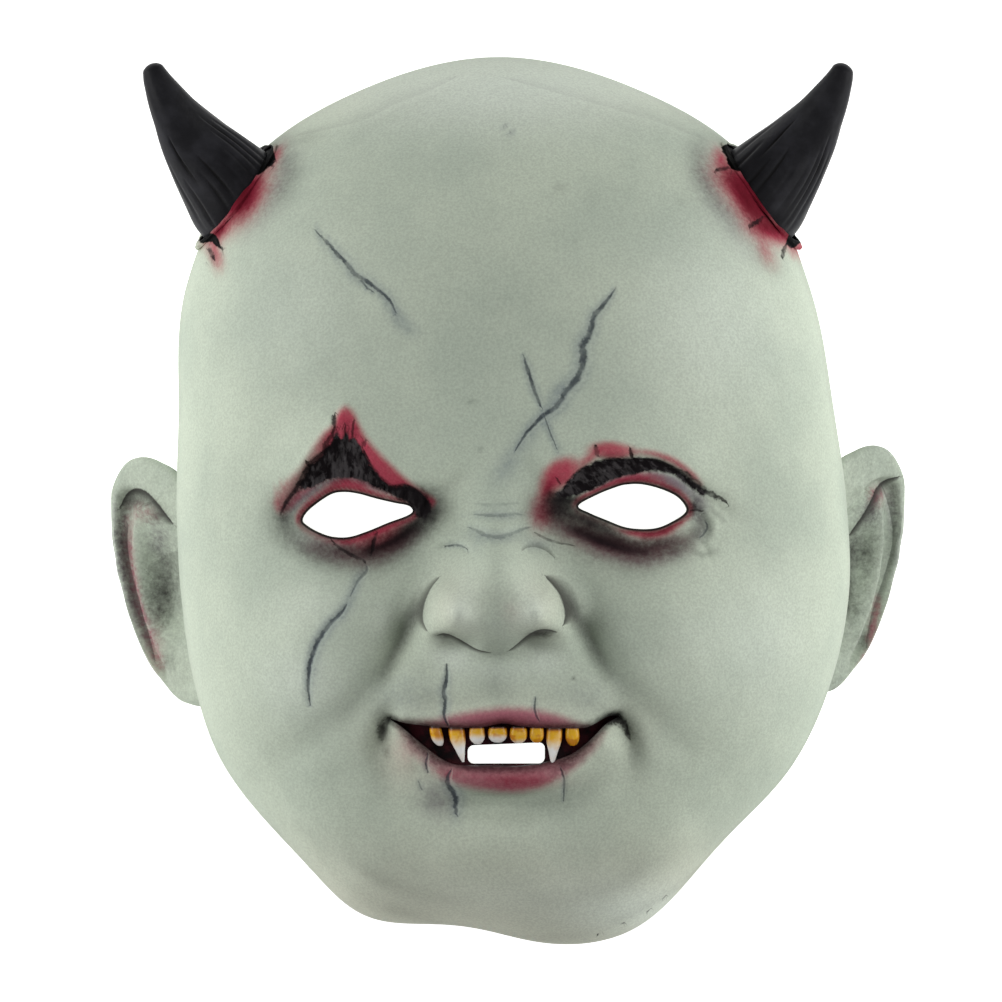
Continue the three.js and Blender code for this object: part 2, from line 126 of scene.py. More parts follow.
# Upper teeth from the left: middle, width, length, lean of the tip, and how far down the yellow reaches
TOOTH_TOP = -72.7
TEETH = (
    (-21.2, 4.2, 6.2, 1.5, 0.6), (-14.4, 5.3, 11.4, 2.2, 0.42), (-7.8, 5.2, 5.6, 0.2, 0.5),
    (-1.1, 6.3, 5.1, 0, 0.55), (5.6, 5.8, 5.3, 0, 0.85), (11.5, 4.8, 5.2, 0, 1.1),
    (17.2, 5.2, 12.2, -0.6, 0.45), (22.9, 4.7, 6.2, 0.3, 1.3),
)
FANG_LENGTH = 10.0
TOOTH_DEPTH = 2.6
TOOTH_SET_BACK = 3.9

# Horns: middle line on the right of the plane between them, and the widths along it. The rounded tip has
# a share of the length at which it starts, its length, and the length over which it would close
HORN_LINE = (
    (77.5, 90.5, 52), (88.8, 104.2, 58), (101, 119.2, 64), (108.4, 130.2, 70), (113.6, 139.8, 74),
    (116, 146.2, 76),
)
HORN_WIDTHS = (35, 36, 24.5, 16, 10, 6)
HORN_FLATNESS = 0.88
HORN_TIP = 0.94
TIP_LENGTH = 0.06
TIP_REACH = 0.0601

# The skin swells a little round the horns' feet
FOOT_SWELL = {"height": 2.2, "width": 4.5, "reach": 14.0}

# Splits along a horn: direction round it in radians, where each starts and ends, and its depth
HORN_SPLITS = (
    (0.5, 0.16, 0.5, 0.5), (0.72, 0.18, 0.56, 0.7), (0.9, 0.2, 0.5, 0.6), (1.12, 0.18, 0.42, 0.4),
    (1.42, 0.2, 0.38, 0.3), (1.75, 0.2, 0.44, 0.7), (1.98, 0.18, 0.36, 0.6), (2.2, 0.3, 0.55, 0.9),
    (2.45, 0.16, 0.36, 0.6), (2.75, 0.18, 0.45, 0.4), (3.6, 0.18, 0.5, 0.5), (4.3, 0.18, 0.45, 0.5),
    (5.2, 0.18, 0.5, 0.5),
)

# Ears: root on the side of the head, and outline, rolled rim and inner ridge in the ear's own plane
EAR_ROOTS = {-1: (-106.2, -29.0, 40.0), 1: (111.0, -25.0, 40.0)}
EAR_LEAN = math.radians(9)
EAR_FLARE = math.radians(42)
EAR_OUTLINE = (
    (-7, 33), (6, 43), (21, 44), (33, 35), (38, 17), (37, -3), (32, -21), (24, -33.5), (13, -41), (-4, -38),
    (-9, -5),
)
EAR_HOLLOW = (12.0, -1.0)
EAR_FOLD = (
    (-6, 15), (-2, 18), (4, 22.5), (9.5, 28), (16, 32), (23, 33.4), (29.5, 30.5), (34, 17), (34.2, -3),
    (29.6, -20), (21.5, -33.5),
)
EAR_RIDGE = ((12, 29), (21, 27), (26, 18), (28.5, 6), (28, -7), (25, -19), (21, -30))

# Ears lie lower than the face, so the paint on them is measured a little wider. It fades in between two
# heights over an ear's own plane, and the head has no drawn lines further out than EARS_FROM
EAR_DEPTH_SCALE = 1.015
EAR_FRONT = (-9.0, -5.0)
EARS_FROM = 108.0

# Cracks over the face, and creases of the bridge and beside the eyes drawn the same way as painted shade,
# in
# groups whose lines lie well apart: half width, strength and points of each
CRACKS_AND_CREASES = (
    (
        (0.65, 1, (-61.2, 89.2), (-57.2, 85.1), (-53, 80.3), (-48.4, 75.2), (-47, 73.2), (-43.4, 71.2),
         (-36.7, 65.8), (-33.7, 60.3)),
        (0.95, 1, (37.7, 69.7), (35, 65.8), (32, 62.2), (30.2, 60.3), (29.6, 57.4), (27.8, 52.5),
         (26.3, 50.1), (26.6, 47.1), (25.4, 41.7), (23.5, 38.1), (21.1, 35.6), (18.1, 30.8), (13.3, 27.2),
         (8.5, 22.4), (4.3, 15.8)),
        (0.6, 1, (-49.6, -33), (-51.4, -36), (-55.5, -40), (-59.6, -46.5), (-61.6, -53), (-62.3, -60),
         (-61.5, -67)),
        (0.6, 1, (-17.4, -52), (-17.4, -57), (-18.4, -61), (-17.9, -64.5), (-18.2, -69), (-16.8, -72.6)),
        (0.35, 0.8, (11.2, -62.5), (10.7, -66), (11.2, -68.6), (12.4, -71)),
        (0.35, 0.9, (-23.4, -81), (-24.2, -84.5), (-23.4, -88)),
        (0.75, 1, (-15.8, -86), (-17.4, -89.8), (-16.6, -92.4), (-14.6, -95.6), (-14.9, -98.6),
         (-14.2, -103)),
        (0.35, 0.8, (19, -85.5), (20.2, -89.6), (20.2, -97.5)),
        (0.25, 0.6, (0.5, 126.5), (4, 120)),
        (0.3, 0.75, (-19, -14.9), (-16.5, -14.3), (-14, -14.1), (-12, -14.7), (-10.2, -16)),
        (0.55, 0.4, (-9, -4.2), (-5, -4.6), (0, -4.7), (4, -4.2), (7, -4.4)),
        (0.3, 0.6, (66, -6), (67, -8.4), (65.4, -11), (64, -12)),
    ),
    (
        (0.55, 1, (7, 47.7), (8.5, 42.9), (10.3, 36.8), (11.5, 33.6), (13.3, 29.6)),
        (0.4, 0.5, (-43.4, -20.4), (-43.4, -22.6), (-46, -25.6), (-48.6, -31)),
        (0.3, 0.8, (-46.5, 73.4), (-44.2, 70), (-41, 67.4)),
        (0.22, 0.7, (13.3, 29.6), (15.7, 22.4), (18.7, 15.2)),
        (0.65, 0.42, (-11, -8), (-8, -9.4), (-5, -10.9), (-1, -11.6), (3, -10.6), (7, -9), (10, -8)),
        (0.5, 0.22, (-9, -0.8), (-2, -1.2), (6, -0.6)),
        (0.3, 0.6, (-26.8, -90), (-26, -92.4), (-25, -93.6)),
    ),
)

# Black drawn lines, in the same way
INKS = (
    (
        # Left wound's dark edges, with their thorns
        (0.85, 1, (-71.9, -6), (-70.8, -2), (-67, 3.2), (-64.4, 7), (-62.6, 11), (-60, 13.4), (-57.3, 15),
         (-56, 19), (-54.2, 22), (-53.6, 25)),
        (0.95, 1, (-44.6, 17.6), (-43, 13), (-40.6, 9), (-38, 6), (-34.6, 4.2), (-31, 4.8), (-27, 3),
         (-23.4, -0.4)),
        # Right brow's upper edge, run out past the eye
        (0.9, 1, (44, 13.6), (50, 13), (56, 10.4), (61, 7.6), (65, 4.2), (69, 1.8), (72, 0.4),
         (74.4, -1.6)),
        # Right hook of the mouth and the shadow of the left one
        (1.5, 1, (29.6, -73.6), (32.6, -71.4), (35.6, -69.9), (37.6, -70.2), (40, -72.8), (41.8, -77.4)),
        (1.3, 0.75, (-35.8, -70), (-37.4, -71.6), (-38.6, -74.6), (-38.4, -78)),
        # Nicks in the hem of the neck
        (0.35, 1, (31.4, -143.5), (32.4, -141.4)),
        (0.3, 0.8, (39, -139.6), (41, -138)),
        (0.3, 0.8, (47.4, -136), (49.4, -134)),
        (0.3, 0.8, (53, -131.6), (54.6, -129.6)),
        # Tears in the skin at the horns' feet
        (0.8, 1, (81.4, 90), (83, 91.6), (85.4, 92.8), (88, 95.6)),
        (0.7, 1, (70.6, 109.6), (73.4, 110.8), (77.4, 111.6)),
        (0.7, 1, (-98.4, 86), (-96.8, 82.8), (-95.2, 79.2)),
        (0.7, 1, (93.6, 80), (94.6, 83.6), (96, 87)),
        (0.45, 1, (-90.4, 95), (-92, 93), (-93.4, 91)),
    ),
    (
        (0.7, 1, (-53.4, 22.6), (-53.8, 26), (-53.6, 29)),
        (0.65, 1, (-56.8, 14.6), (-57, 17.6), (-57, 19.8)),
        (0.65, 1, (-61.8, 10.4), (-62.6, 12), (-63.4, 13.2)),
        (0.65, 1, (-44.4, 16.6), (-44, 18.8), (-43.2, 20)),
        (0.65, 1, (31.4, 14), (30.8, 16.2), (30.2, 18.6)),
        (0.65, 1, (42.4, 13.4), (41.8, 15.6), (41.2, 17.8)),
        (0.35, 0.8, (17.4, 8), (18.4, 6.4), (19.4, 5)),
        (0.35, 0.8, (-49.8, 19), (-50.2, 22), (-50, 25.4)),
        (0.4, 0.8, (-47.8, 19), (-47.8, 23), (-47.2, 26.4)),
        (0.5, 0.85, (-55.6, -11.6), (-53, -14.6), (-48.4, -17.4), (-44.6, -19), (-43.4, -20.6)),
        (0.55, 0.9, (-39.8, -9.6), (-41, -13), (-42, -18)),
        (0.4, 0.8, (61, -3), (63.4, -3), (66, -3.6)),
        (0.45, 0.6, (10.6, -10), (14, -12), (18, -13.4), (24, -14.4)),
        (0.4, 1, (97.4, 83), (98, 86), (98.4, 88)),
        (0.4, 0.9, (84, 93.4), (82.4, 92.6)),
        (0.35, 0.9, (76, 111.4), (75.2, 109.6)),
        (0.5, 1, (-96, 87.6), (-94, 85), (-91.8, 82.6)),
        (0.5, 1, (-77, 112.8), (-75.2, 111.4)),
    ),
)

# Edges with a shadow on one side, to the left of the direction of the line: its reach, strength and points
SHADES = (
    (
        # Wings of the nose, nostrils and the arch over the right side of the nose
        (3.2, 0.75, (-23.4, -41.6), (-24.7, -39), (-25, -36.5), (-24.6, -33.5), (-23.6, -30.4),
         (-22, -27.4), (-19.6, -24.4)),
        (5.6, 0.9, (14, -24.2), (16.4, -26.8), (18.4, -29.6), (19.8, -33), (20.4, -36.6), (19.8, -39.6)),
        (2.2, 0.45, (6.2, -16.6), (8.2, -15.1), (11.3, -14.9), (14.6, -16.2), (17.5, -18.6)),
        # Crest over the crown
        (6, 0.11, (-69, 122.6), (-47, 126.6), (-36, 132.4), (-25.4, 136.5), (-13.7, 143)),
        (6, 0.11, (1.3, 141.5), (26.5, 134), (50, 127.5), (70, 120.6)),
        # Rolled rims of the ears
        (4.6, 0.95, (-111.6, -8.1), (-113.7, -5.6), (-117.7, -0.5), (-121.8, 3.2), (-125.9, 4.5),
         (-129.9, 2.4), (-132.6, -3)),
        (4.2, 0.95, (138.4, 8.5), (134.4, 7.9), (131.7, 6.5), (129.5, 4.1), (127.5, 0.6), (125.5, -3.5),
         (121.8, -9.1), (119.8, -12.2)),
    ),
    (
        (1.9, 0.9, (-3, -48.5), (-7.4, -47.5), (-10.4, -45.9), (-13.4, -44), (-16, -42.6), (-18.4, -42.1),
         (-20.6, -42.8)),
        (2.8, 0.85, (18, -41.8), (15.6, -40.9), (13, -40.7), (10.6, -41.4), (8, -43.1), (5.4, -45.5),
         (2.2, -48)),
        # Inner ridges of the ears
        (3.4, 0.6, (-119.4, -55.8), (-120.6, -51.8), (-123.8, -40.6), (-126.6, -31.5), (-128.9, -22.3),
         (-129.9, -14.2), (-129.4, -7.1)),
        (12, 0.3, (-111, -16.6), (-117, -19.4), (-123, -23.4)),
        (2.4, 0.5, (131.9, 5.5), (134, 0), (135.6, -6.1), (136.2, -11.2), (135.6, -17.3), (134, -23.3),
         (132.4, -28.4), (130.5, -33.5), (128.5, -39.6), (126.9, -46.7), (126.3, -51.8)),
    ),
)
LINES = {"crack": CRACKS_AND_CREASES, "ink": INKS, "shade": SHADES}

# In half widths of a line: how far the distance to it is kept, where it fades and how far its halo goes
LINE_REACH = 12.0
LINE_FADE = 3.8
HALO_REACH = 4.5

# Lower part of the nose, which stands out over the lip and the cheeks
NOSE_EDGE = (
    (-19.4, -24), (-22.2, -27.6), (-23.8, -31), (-24.9, -35), (-24.8, -39), (-23, -42.4), (-20, -42.4),
    (-18, -42.1), (-15, -43.1), (-12, -44.9), (-9, -46.7), (-5.4, -48.3), (0, -48.8), (3, -47.6), (6, -45),
    (9, -42.2), (11.5, -40.9), (14, -40.7), (18, -41), (20.2, -39.4), (20.4, -36), (19.7, -32.6),
    (17.6, -28.4), (14, -24), (-2, -10),
)

# The torn brows: outlines of the red round the left one, and of the dark of both
LEFT_WOUND_RED = (
    (-74, -1), (-72.3, 4), (-68.3, 7.6), (-64, 12), (-60.8, 17.2), (-57.4, 21.6), (-54, 24.6), (-53, 28),
    (-50.4, 30.4), (-47.8, 29), (-46, 25.4), (-43.4, 20.6), (-40, 16.4), (-36, 12.4), (-32, 8.6),
    (-28, 5), (-24.6, 2.6), (-21.4, 0), (-24, -1.6), (-30, 2), (-38, 4), (-46, 8), (-56, 8), (-64, 2),
    (-71, -4),
)
LEFT_WOUND_DARK = (
    (-66, 3.4), (-64, 7.4), (-62, 11.4), (-58.4, 13.8), (-56.8, 17), (-54.6, 19.6), (-53, 23), (-51.6, 20),
    (-49.8, 22), (-48.6, 19.8), (-47.2, 20.4), (-45, 17.8), (-43, 13.4), (-40.6, 9.6), (-38, 6.4),
    (-34.8, 4.4), (-31, 5), (-27, 3.4), (-23.2, -0.2), (-23, -3.4), (-26.6, -5.6), (-29.6, -1.6),
    (-34.5, 1.6), (-39.5, 3.8), (-44, 6.2), (-50, 7.6), (-56, 6.8), (-61, 4.6),
)
RIGHT_BROW_DARK = (
    (17.4, 2), (19.4, 4.2), (22, 7.4), (25, 10), (30, 12.8), (36.6, 14), (44.2, 14.2), (50.7, 13.4),
    (57.2, 10.2), (62, 7), (66, 3.4), (65.4, 2), (61, 4.6), (55.6, 8.2), (50, 9.6), (43.1, 8.6),
    (36.6, 7.2), (31.1, 4.6), (26, 2.4), (21, 0.8),
)

# Painted shadow in the slots where the torn skin stands off at the ends of the horns' feet: dark outlines
# painted on the skin, how far over the widest line they start and over what height they fade in
SLOT_START = 7.0
SLOT_FADE = 3.0
SLOT_SHADOWS = (
    ((-83.4, 119), (-80.6, 120.8), (-77.4, 120.2), (-76.2, 116.8), (-74.8, 111.4), (-77.6, 112.2),
     (-79.2, 110.4), (-81.8, 109.2), (-82.8, 113), (-82.4, 117)),
    ((-102, 89.8), (-101.2, 87), (-98.4, 87), (-96, 86), (-93.4, 83), (-94.2, 87.2), (-96, 89.4),
     (-98.6, 90)),
    ((82, 120), (76.6, 120.4), (73.8, 118.4), (75.6, 115.4), (76, 112.2), (79, 110.4), (82, 112),
     (81, 117)),
    ((98.2, 93.6), (101.4, 92), (102.4, 88.6), (100.8, 87), (99, 85.6), (96.8, 85), (95.4, 85.6),
     (96.2, 88), (97.2, 91)),
)

# Painted lips, wider than the lips' own relief
UPPER_LIP = (
    (-33, -71.4), (-28, -70.8), (-20, -69.8), (-12, -68), (-4, -66.8), (4, -66.2), (12, -67.2), (19, -69),
    (26, -71.6), (31, -73), (28, -74.2), (20, -74.4), (6, -73.8), (0.5, -73), (-5, -73.8), (-20, -74.2),
    (-28, -73.4),
)
LOWER_LIP = (
    (-33.4, -72), (-31.6, -77), (-28, -81.8), (-23.6, -86), (-18, -89.4), (-10, -92.4), (2.9, -94),
    (13, -92), (23, -86.8), (30, -80.4), (33.6, -74.4), (30, -75), (22.3, -80.6), (14.2, -83), (6, -84),
    (-12.5, -84), (-22.2, -80), (-28.6, -75),
)

# Paint fades out over this height behind the head's widest line
FACE_FADE = 12.0

# Painted materials of the head, the ears and the torn skin at the horns, and how mottled each is
SKINS = {"painted_skin": 1.0, "painted_ears": 2.4, "painted_collars": 1.6}

# How finely the surfaces are divided, and the shares of the way out between which the face's rows are
# closest
HEAD_AROUND = 440
HEAD_FRONT_ROWS = (25, 84, 38)
CLOSE_ROWS = (0.2, 0.64)
HEAD_BACK_ROWS = 16
LINING_AROUND = 100
LINING_FRONT_ROWS = 36
LINING_BACK_ROWS = 6
EAR_ROWS = (48, 12)
HORN_AROUND = 168
HORN_ROWS = 96
TIP_ROWS = 10
TOOTH_AROUND = 26
TOOTH_ROWS = 22
MOUTH_COLUMNS = 72
MOUTH_ROWS = 15
ARCH_AROUND = 96
ARCH_ROWS = 24

# A ridge or stroke is worked out within this many widths of its line
RIDGE_REACH = 3.2


def cubic(a, b, c, d, f):
    """The place at a share f of the way from b to c, on a cubic whose slope at each of the two is half
    the chord between its neighbours."""
    return b + 0.5 * f * (c - a + f * (2 * a - 5 * b + 4 * c - d + f * (3 * (b - c) + d - a)))


def smooth_line(points, steps=12, closed=False):
    """A curve of cubic spans through points."""
    p = np.asarray(points, float)
    if closed:
        before, after, last = np.roll(p, 1, 0), np.roll(p, -1, 0), np.roll(p, -2, 0)
    else:
        padded = np.vstack([2 * p[0] - p[1], p, 2 * p[-1] - p[-2]])
        before, p, after, last = padded[:-3], padded[1:-2], padded[2:-1], padded[3:]
    f = (np.arange(steps) / steps)[None, :, None]
    line = cubic(*(q[:, None, :] for q in (before, p, after, last)), f).reshape(-1, p.shape[1])
    return line if closed else np.vstack([line, after[-1]])


def from_line(x, y, line, closed=False):
    """Nearest distance from places to a line, the same with its side as a sign, and the share of the
    line's length at which it is nearest."""
    line = np.asarray(line, float)
    ends = np.vstack([line, line[:1]]) if closed else line
    best = np.full(np.shape(x), np.inf)
    side = np.ones(np.shape(x))
    share = np.zeros(np.shape(x))
    spans = len(ends) - 1
    for i in range(spans):
        (ax, ay), (bx, by) = ends[i], ends[i + 1]
        dx, dy = bx - ax, by - ay
        f = np.clip(((x - ax) * dx + (y - ay) * dy) / max(dx * dx + dy * dy, 1e-9), 0, 1)
        gap = np.hypot(x - ax - f * dx, y - ay - f * dy)
        nearer = gap < best
        best = np.where(nearer, gap, best)
        side = np.where(nearer, np.sign(dx * (y - ay) - dy * (x - ax)), side)
        share = np.where(nearer, (i + f) / spans, share)
    return best, best * np.where(side == 0, 1, side), share


def smooth_step(value, low, high):
    """0 below low, 1 above high, and a smooth S between them."""
    t = np.clip((value - low) / (high - low), 0, 1)
    return t * t * (3 - 2 * t)


def wrapped(angle):
    """An angle brought between minus pi and pi."""
    return np.mod(angle + np.pi, 2 * np.pi) - np.pi


def directions(count):
    """Even directions round a full turn."""
    return np.arange(count) / count * 2 * np.pi


def from_pole(x, y):
    """Distance and direction of places from the nose pole."""
    across, up = x - NOSE_POLE[0], y - NOSE_POLE[1]
    return np.hypot(across, up), np.arctan2(up, across)


def round_pole(out, angle):
    """Places at a distance and in a direction from the nose pole."""
    return NOSE_POLE[0] + out * np.cos(angle), NOSE_POLE[1] + out * np.sin(angle)


def near_box(x, y, line, reach):
    """True for places within a reach of the box round a line."""
    low, high = line.min(0) - reach, line.max(0) + reach
    return (x > low[0]) & (x < high[0]) & (y > low[1]) & (y < high[1])


def depth_in(x, y, points, reach=4.0):
    """How deep places lie inside a smooth closed line, or outside it as a negative number, up to a
    reach. The parity of edges crossed tells the inside."""
    line = smooth_line(points, 4, closed=True)
    near = near_box(x, y, line, reach)
    px, py = x[near], y[near]
    inside = np.zeros(len(px), bool)
    for (ax, ay), (bx, by) in zip(line, np.roll(line, -1, 0)):
        crosses = (ay > py) != (by > py)
        inside ^= crosses & (px < ax + (py - ay) * (bx - ax) / (by - ay if by != ay else 1e-9))
    gap = np.minimum(from_line(px, py, line, True)[0], reach)
    depth = np.full(np.shape(x), -reach)
    depth[near] = np.where(inside, gap, -gap)
    return depth


def patch(x, y, points, soft):
    """1 inside a closed line and 0 outside, softened by a reach."""
    return smooth_step(depth_in(x, y, points), -soft, soft)


def inked(x, y, rows):
    """For drawn lines: the side and distance of the nearest, in units of its own half width, which
    shrinks as a sine to its ends, and how strongly it is drawn there."""
    best = np.full(np.shape(x), LINE_REACH)
    drawn = np.zeros(np.shape(x))
    for half_width, strength, *points in rows:
        line = smooth_line(points, 3)
        near = near_box(x, y, line, LINE_REACH * half_width)
        _, signed, share = from_line(x[near], y[near], line)
        value = signed / (half_width * (0.08 + np.sin(np.pi * np.clip(share, 0, 1)) ** 0.6))
        nearer = np.abs(value) < np.abs(best[near])
        best[near] = np.where(nearer, value, best[near])
        drawn[near] = np.where(nearer, strength, drawn[near])
    return best, drawn * np.exp(-((best / LINE_FADE) ** 4))


def swell(x, y, place, across, above, below=None, turn=0.0, roundness=1.0):
    """A bump of height 1: e to the minus r squared, to a power, where r is the distance in units of
    its reach across, above and below its middle."""
    c, s = math.cos(math.radians(turn)), math.sin(math.radians(turn))
    u = (x - place[0]) * c + (y - place[1]) * s
    v = (y - place[1]) * c - (x - place[0]) * s
    reach = (u / across) ** 2 + (v / np.where(v > 0, above, below or above)) ** 2
    return np.exp(-(reach ** roundness))


def ridge(x, y, points, width, steps=6):
    """A bump of height 1 along a line, as e to the minus distance squared over width squared, which
    fades as a sine towards both ends."""
    line = smooth_line(points, steps)
    near = near_box(x, y, line, RIDGE_REACH * width)
    gap, _, share = from_line(x[near], y[near], line)
    height = np.zeros(np.shape(x))
    height[near] = np.exp(-((gap / width) ** 2)) * np.sqrt(np.sin(np.pi * (0.08 + 0.84 * share)))
    return height


def ripple(x, y, length, seed):
    """Smooth irregular waves between about -1 and 1: a sum of sines in scattered directions."""
    total = 0
    for k in range(5):
        turn = seed * 2.4 + k * 1.93
        pitch = 2 * np.pi / (length * (0.7 + 0.23 * k))
        total = total + np.sin((x * math.cos(turn) + y * math.sin(turn)) * pitch + seed * 5.1 + k * 1.7)
    return total / 2.6


def outline_radius(angle):
    """Distance from the nose pole to the outline: a smooth cubic through the driving radii."""
    place = np.mod(angle / OUTLINE_STEP, len(OUTLINE))
    at = np.floor(place).astype(int)
    return cubic(*(OUTLINE[(at + k) % len(OUTLINE)] for k in (-1, 0, 1, 2)), place - at)


def waist_height(angle):
    """Height of the widest line: at the ears, less towards the crown and more towards the jaw, with
    the square of the sine."""
    up = np.sin(angle)
    return WAIST_AT_EARS + np.where(up > 0, -WAIST_DROP_AT_CROWN, WAIST_RISE_AT_JAW) * up * up


def neck_flare(angle):
    """How far the neck flares out past the jaw: a sum of bumps round the outline."""
    far = 0.0
    for middle, width, height in NECK_FOLDS:
        away = wrapped(angle - math.radians(middle))
        far = far + height * np.exp(-((away / math.radians(width)) ** 2))
    return far


def broad_forms(x, y, inside=False):
    """The face's main forms over the plain dome, as a sum of swellings, ridges and folds."""
    wider = HOLLOWS_INSIDE if inside else 1.0
    wide = SOCKETS_INSIDE if inside else 1.0
    smaller = SWELLINGS_INSIDE if inside else 1.0

    def at(place, across, above, below=None, turn=0.0, roundness=1.0):
        reach = (across * smaller, above * smaller, (below or above) * smaller)
        return smaller * swell(x, y, place, *reach, turn, roundness)

    def along(points, width):
        return smaller * ridge(x, y, points, width * smaller)

    def fold(points, width):
        return ridge(x, y, points, width * wider)

    def socket(place, across, above):
        return swell(x, y, place, across * wide, above * wide)

    def dip(place, across, above, turn=0.0):
        return swell(x, y, place, across * wider, above * wider, above * wider, turn)

    return (
        # Forehead, brows and the frown between them
        3 * at((-36, 78), 38, 34) + 3 * at((36, 78), 38, 34)
        + 4.5 * along(((-72, 2), (-62, 17), (-50, 24), (-36, 14), (-22, 1)), 9)
        + 4.5 * along(((14, 1), (27, 12), (42, 15), (58, 12), (70, 2)), 9)
        - 2.5 * fold(((-21, 6), (-14, 9), (-9, 14)), 4)
        # Eye sockets with the lids standing out in them
        - 9 * socket((-46, -4), 27, 13) - 9 * socket((42.5, -2), 27, 13)
        + 4.5 * at((-46, -5), 19, 9) + 4.5 * at((42.5, -2.5), 19, 9)
        # Nose: bridge, tip, wings and nostrils
        + 8 * along(((-1.5, 4), (-1.5, -8), (-1.5, -24)), 9)
        + 20 * at((-1.5, -33.5), 16, 20, 13, 0, 1.8)
        + 11 * at((-19.5, -37), 8.5, 10, 8.5, 0, 1.5) + 11 * at((17, -37), 8.5, 10, 8.5, 0, 1.5)
        - 3 * dip((-11.5, -45), 5, 2.6) - 3 * dip((8, -45), 5, 2.6)
        # Cheeks, with the folds that run from the nose past the mouth
        + 7 * at((-63, -48), 27, 24) + 7 * at((60, -48), 27, 24)
        - 4 * fold(((-24, -30), (-30, -42), (-40, -58), (-53, -72), (-70, -84)), 5)
        - 4 * fold(((20, -30), (27, -42), (36, -56), (47, -68), (60, -80)), 5)
        # Muzzle, lips and the corners of the mouth
        + 5 * at((-1, -63), 30, 13)
        - 1.2 * fold(((-1.5, -51), (-1.5, -66)), 3)
        + 3 * along(((-30, -69), (-12, -70), (-2, -68.5), (9, -69), (29, -71.5)), 3)
        + 5 * along(((-27, -81), (-12, -88), (4, -89.5), (18, -87.5), (31, -79)), 5)
        - 4 * dip((-38, -74), 4, 9, -15) - 4 * dip((40, -74), 4, 9, 20)
        # Chin and jowls
        - 4 * dip((-1, -99), 20, 5)
        + 7 * at((-1, -116), 24, 15)
        + 3 * at((-52, -104), 24, 16, 16, -40) + 3 * at((52, -104), 24, 16, 16, 40)
    )


LEFT_EYE_LINE = smooth_line(LEFT_EYE, 8, closed=True)
RIGHT_EYE_LINE = smooth_line(RIGHT_EYE, 8, closed=True)
UPPER_LIP_LINE = smooth_line(UPPER_LIP_EDGE, 8)
LOWER_LIP_LINE = smooth_line(LOWER_LIP_EDGE, 8)
MOUTH_LINE = np.vstack([UPPER_LIP_LINE, LOWER_LIP_LINE[::-1]])


def eye_gap(x, y):
    """Distance to the nearer eye hole's edge."""
    return np.minimum(from_line(x, y, LEFT_EYE_LINE, True)[0], from_line(x, y, RIGHT_EYE_LINE, True)[0])


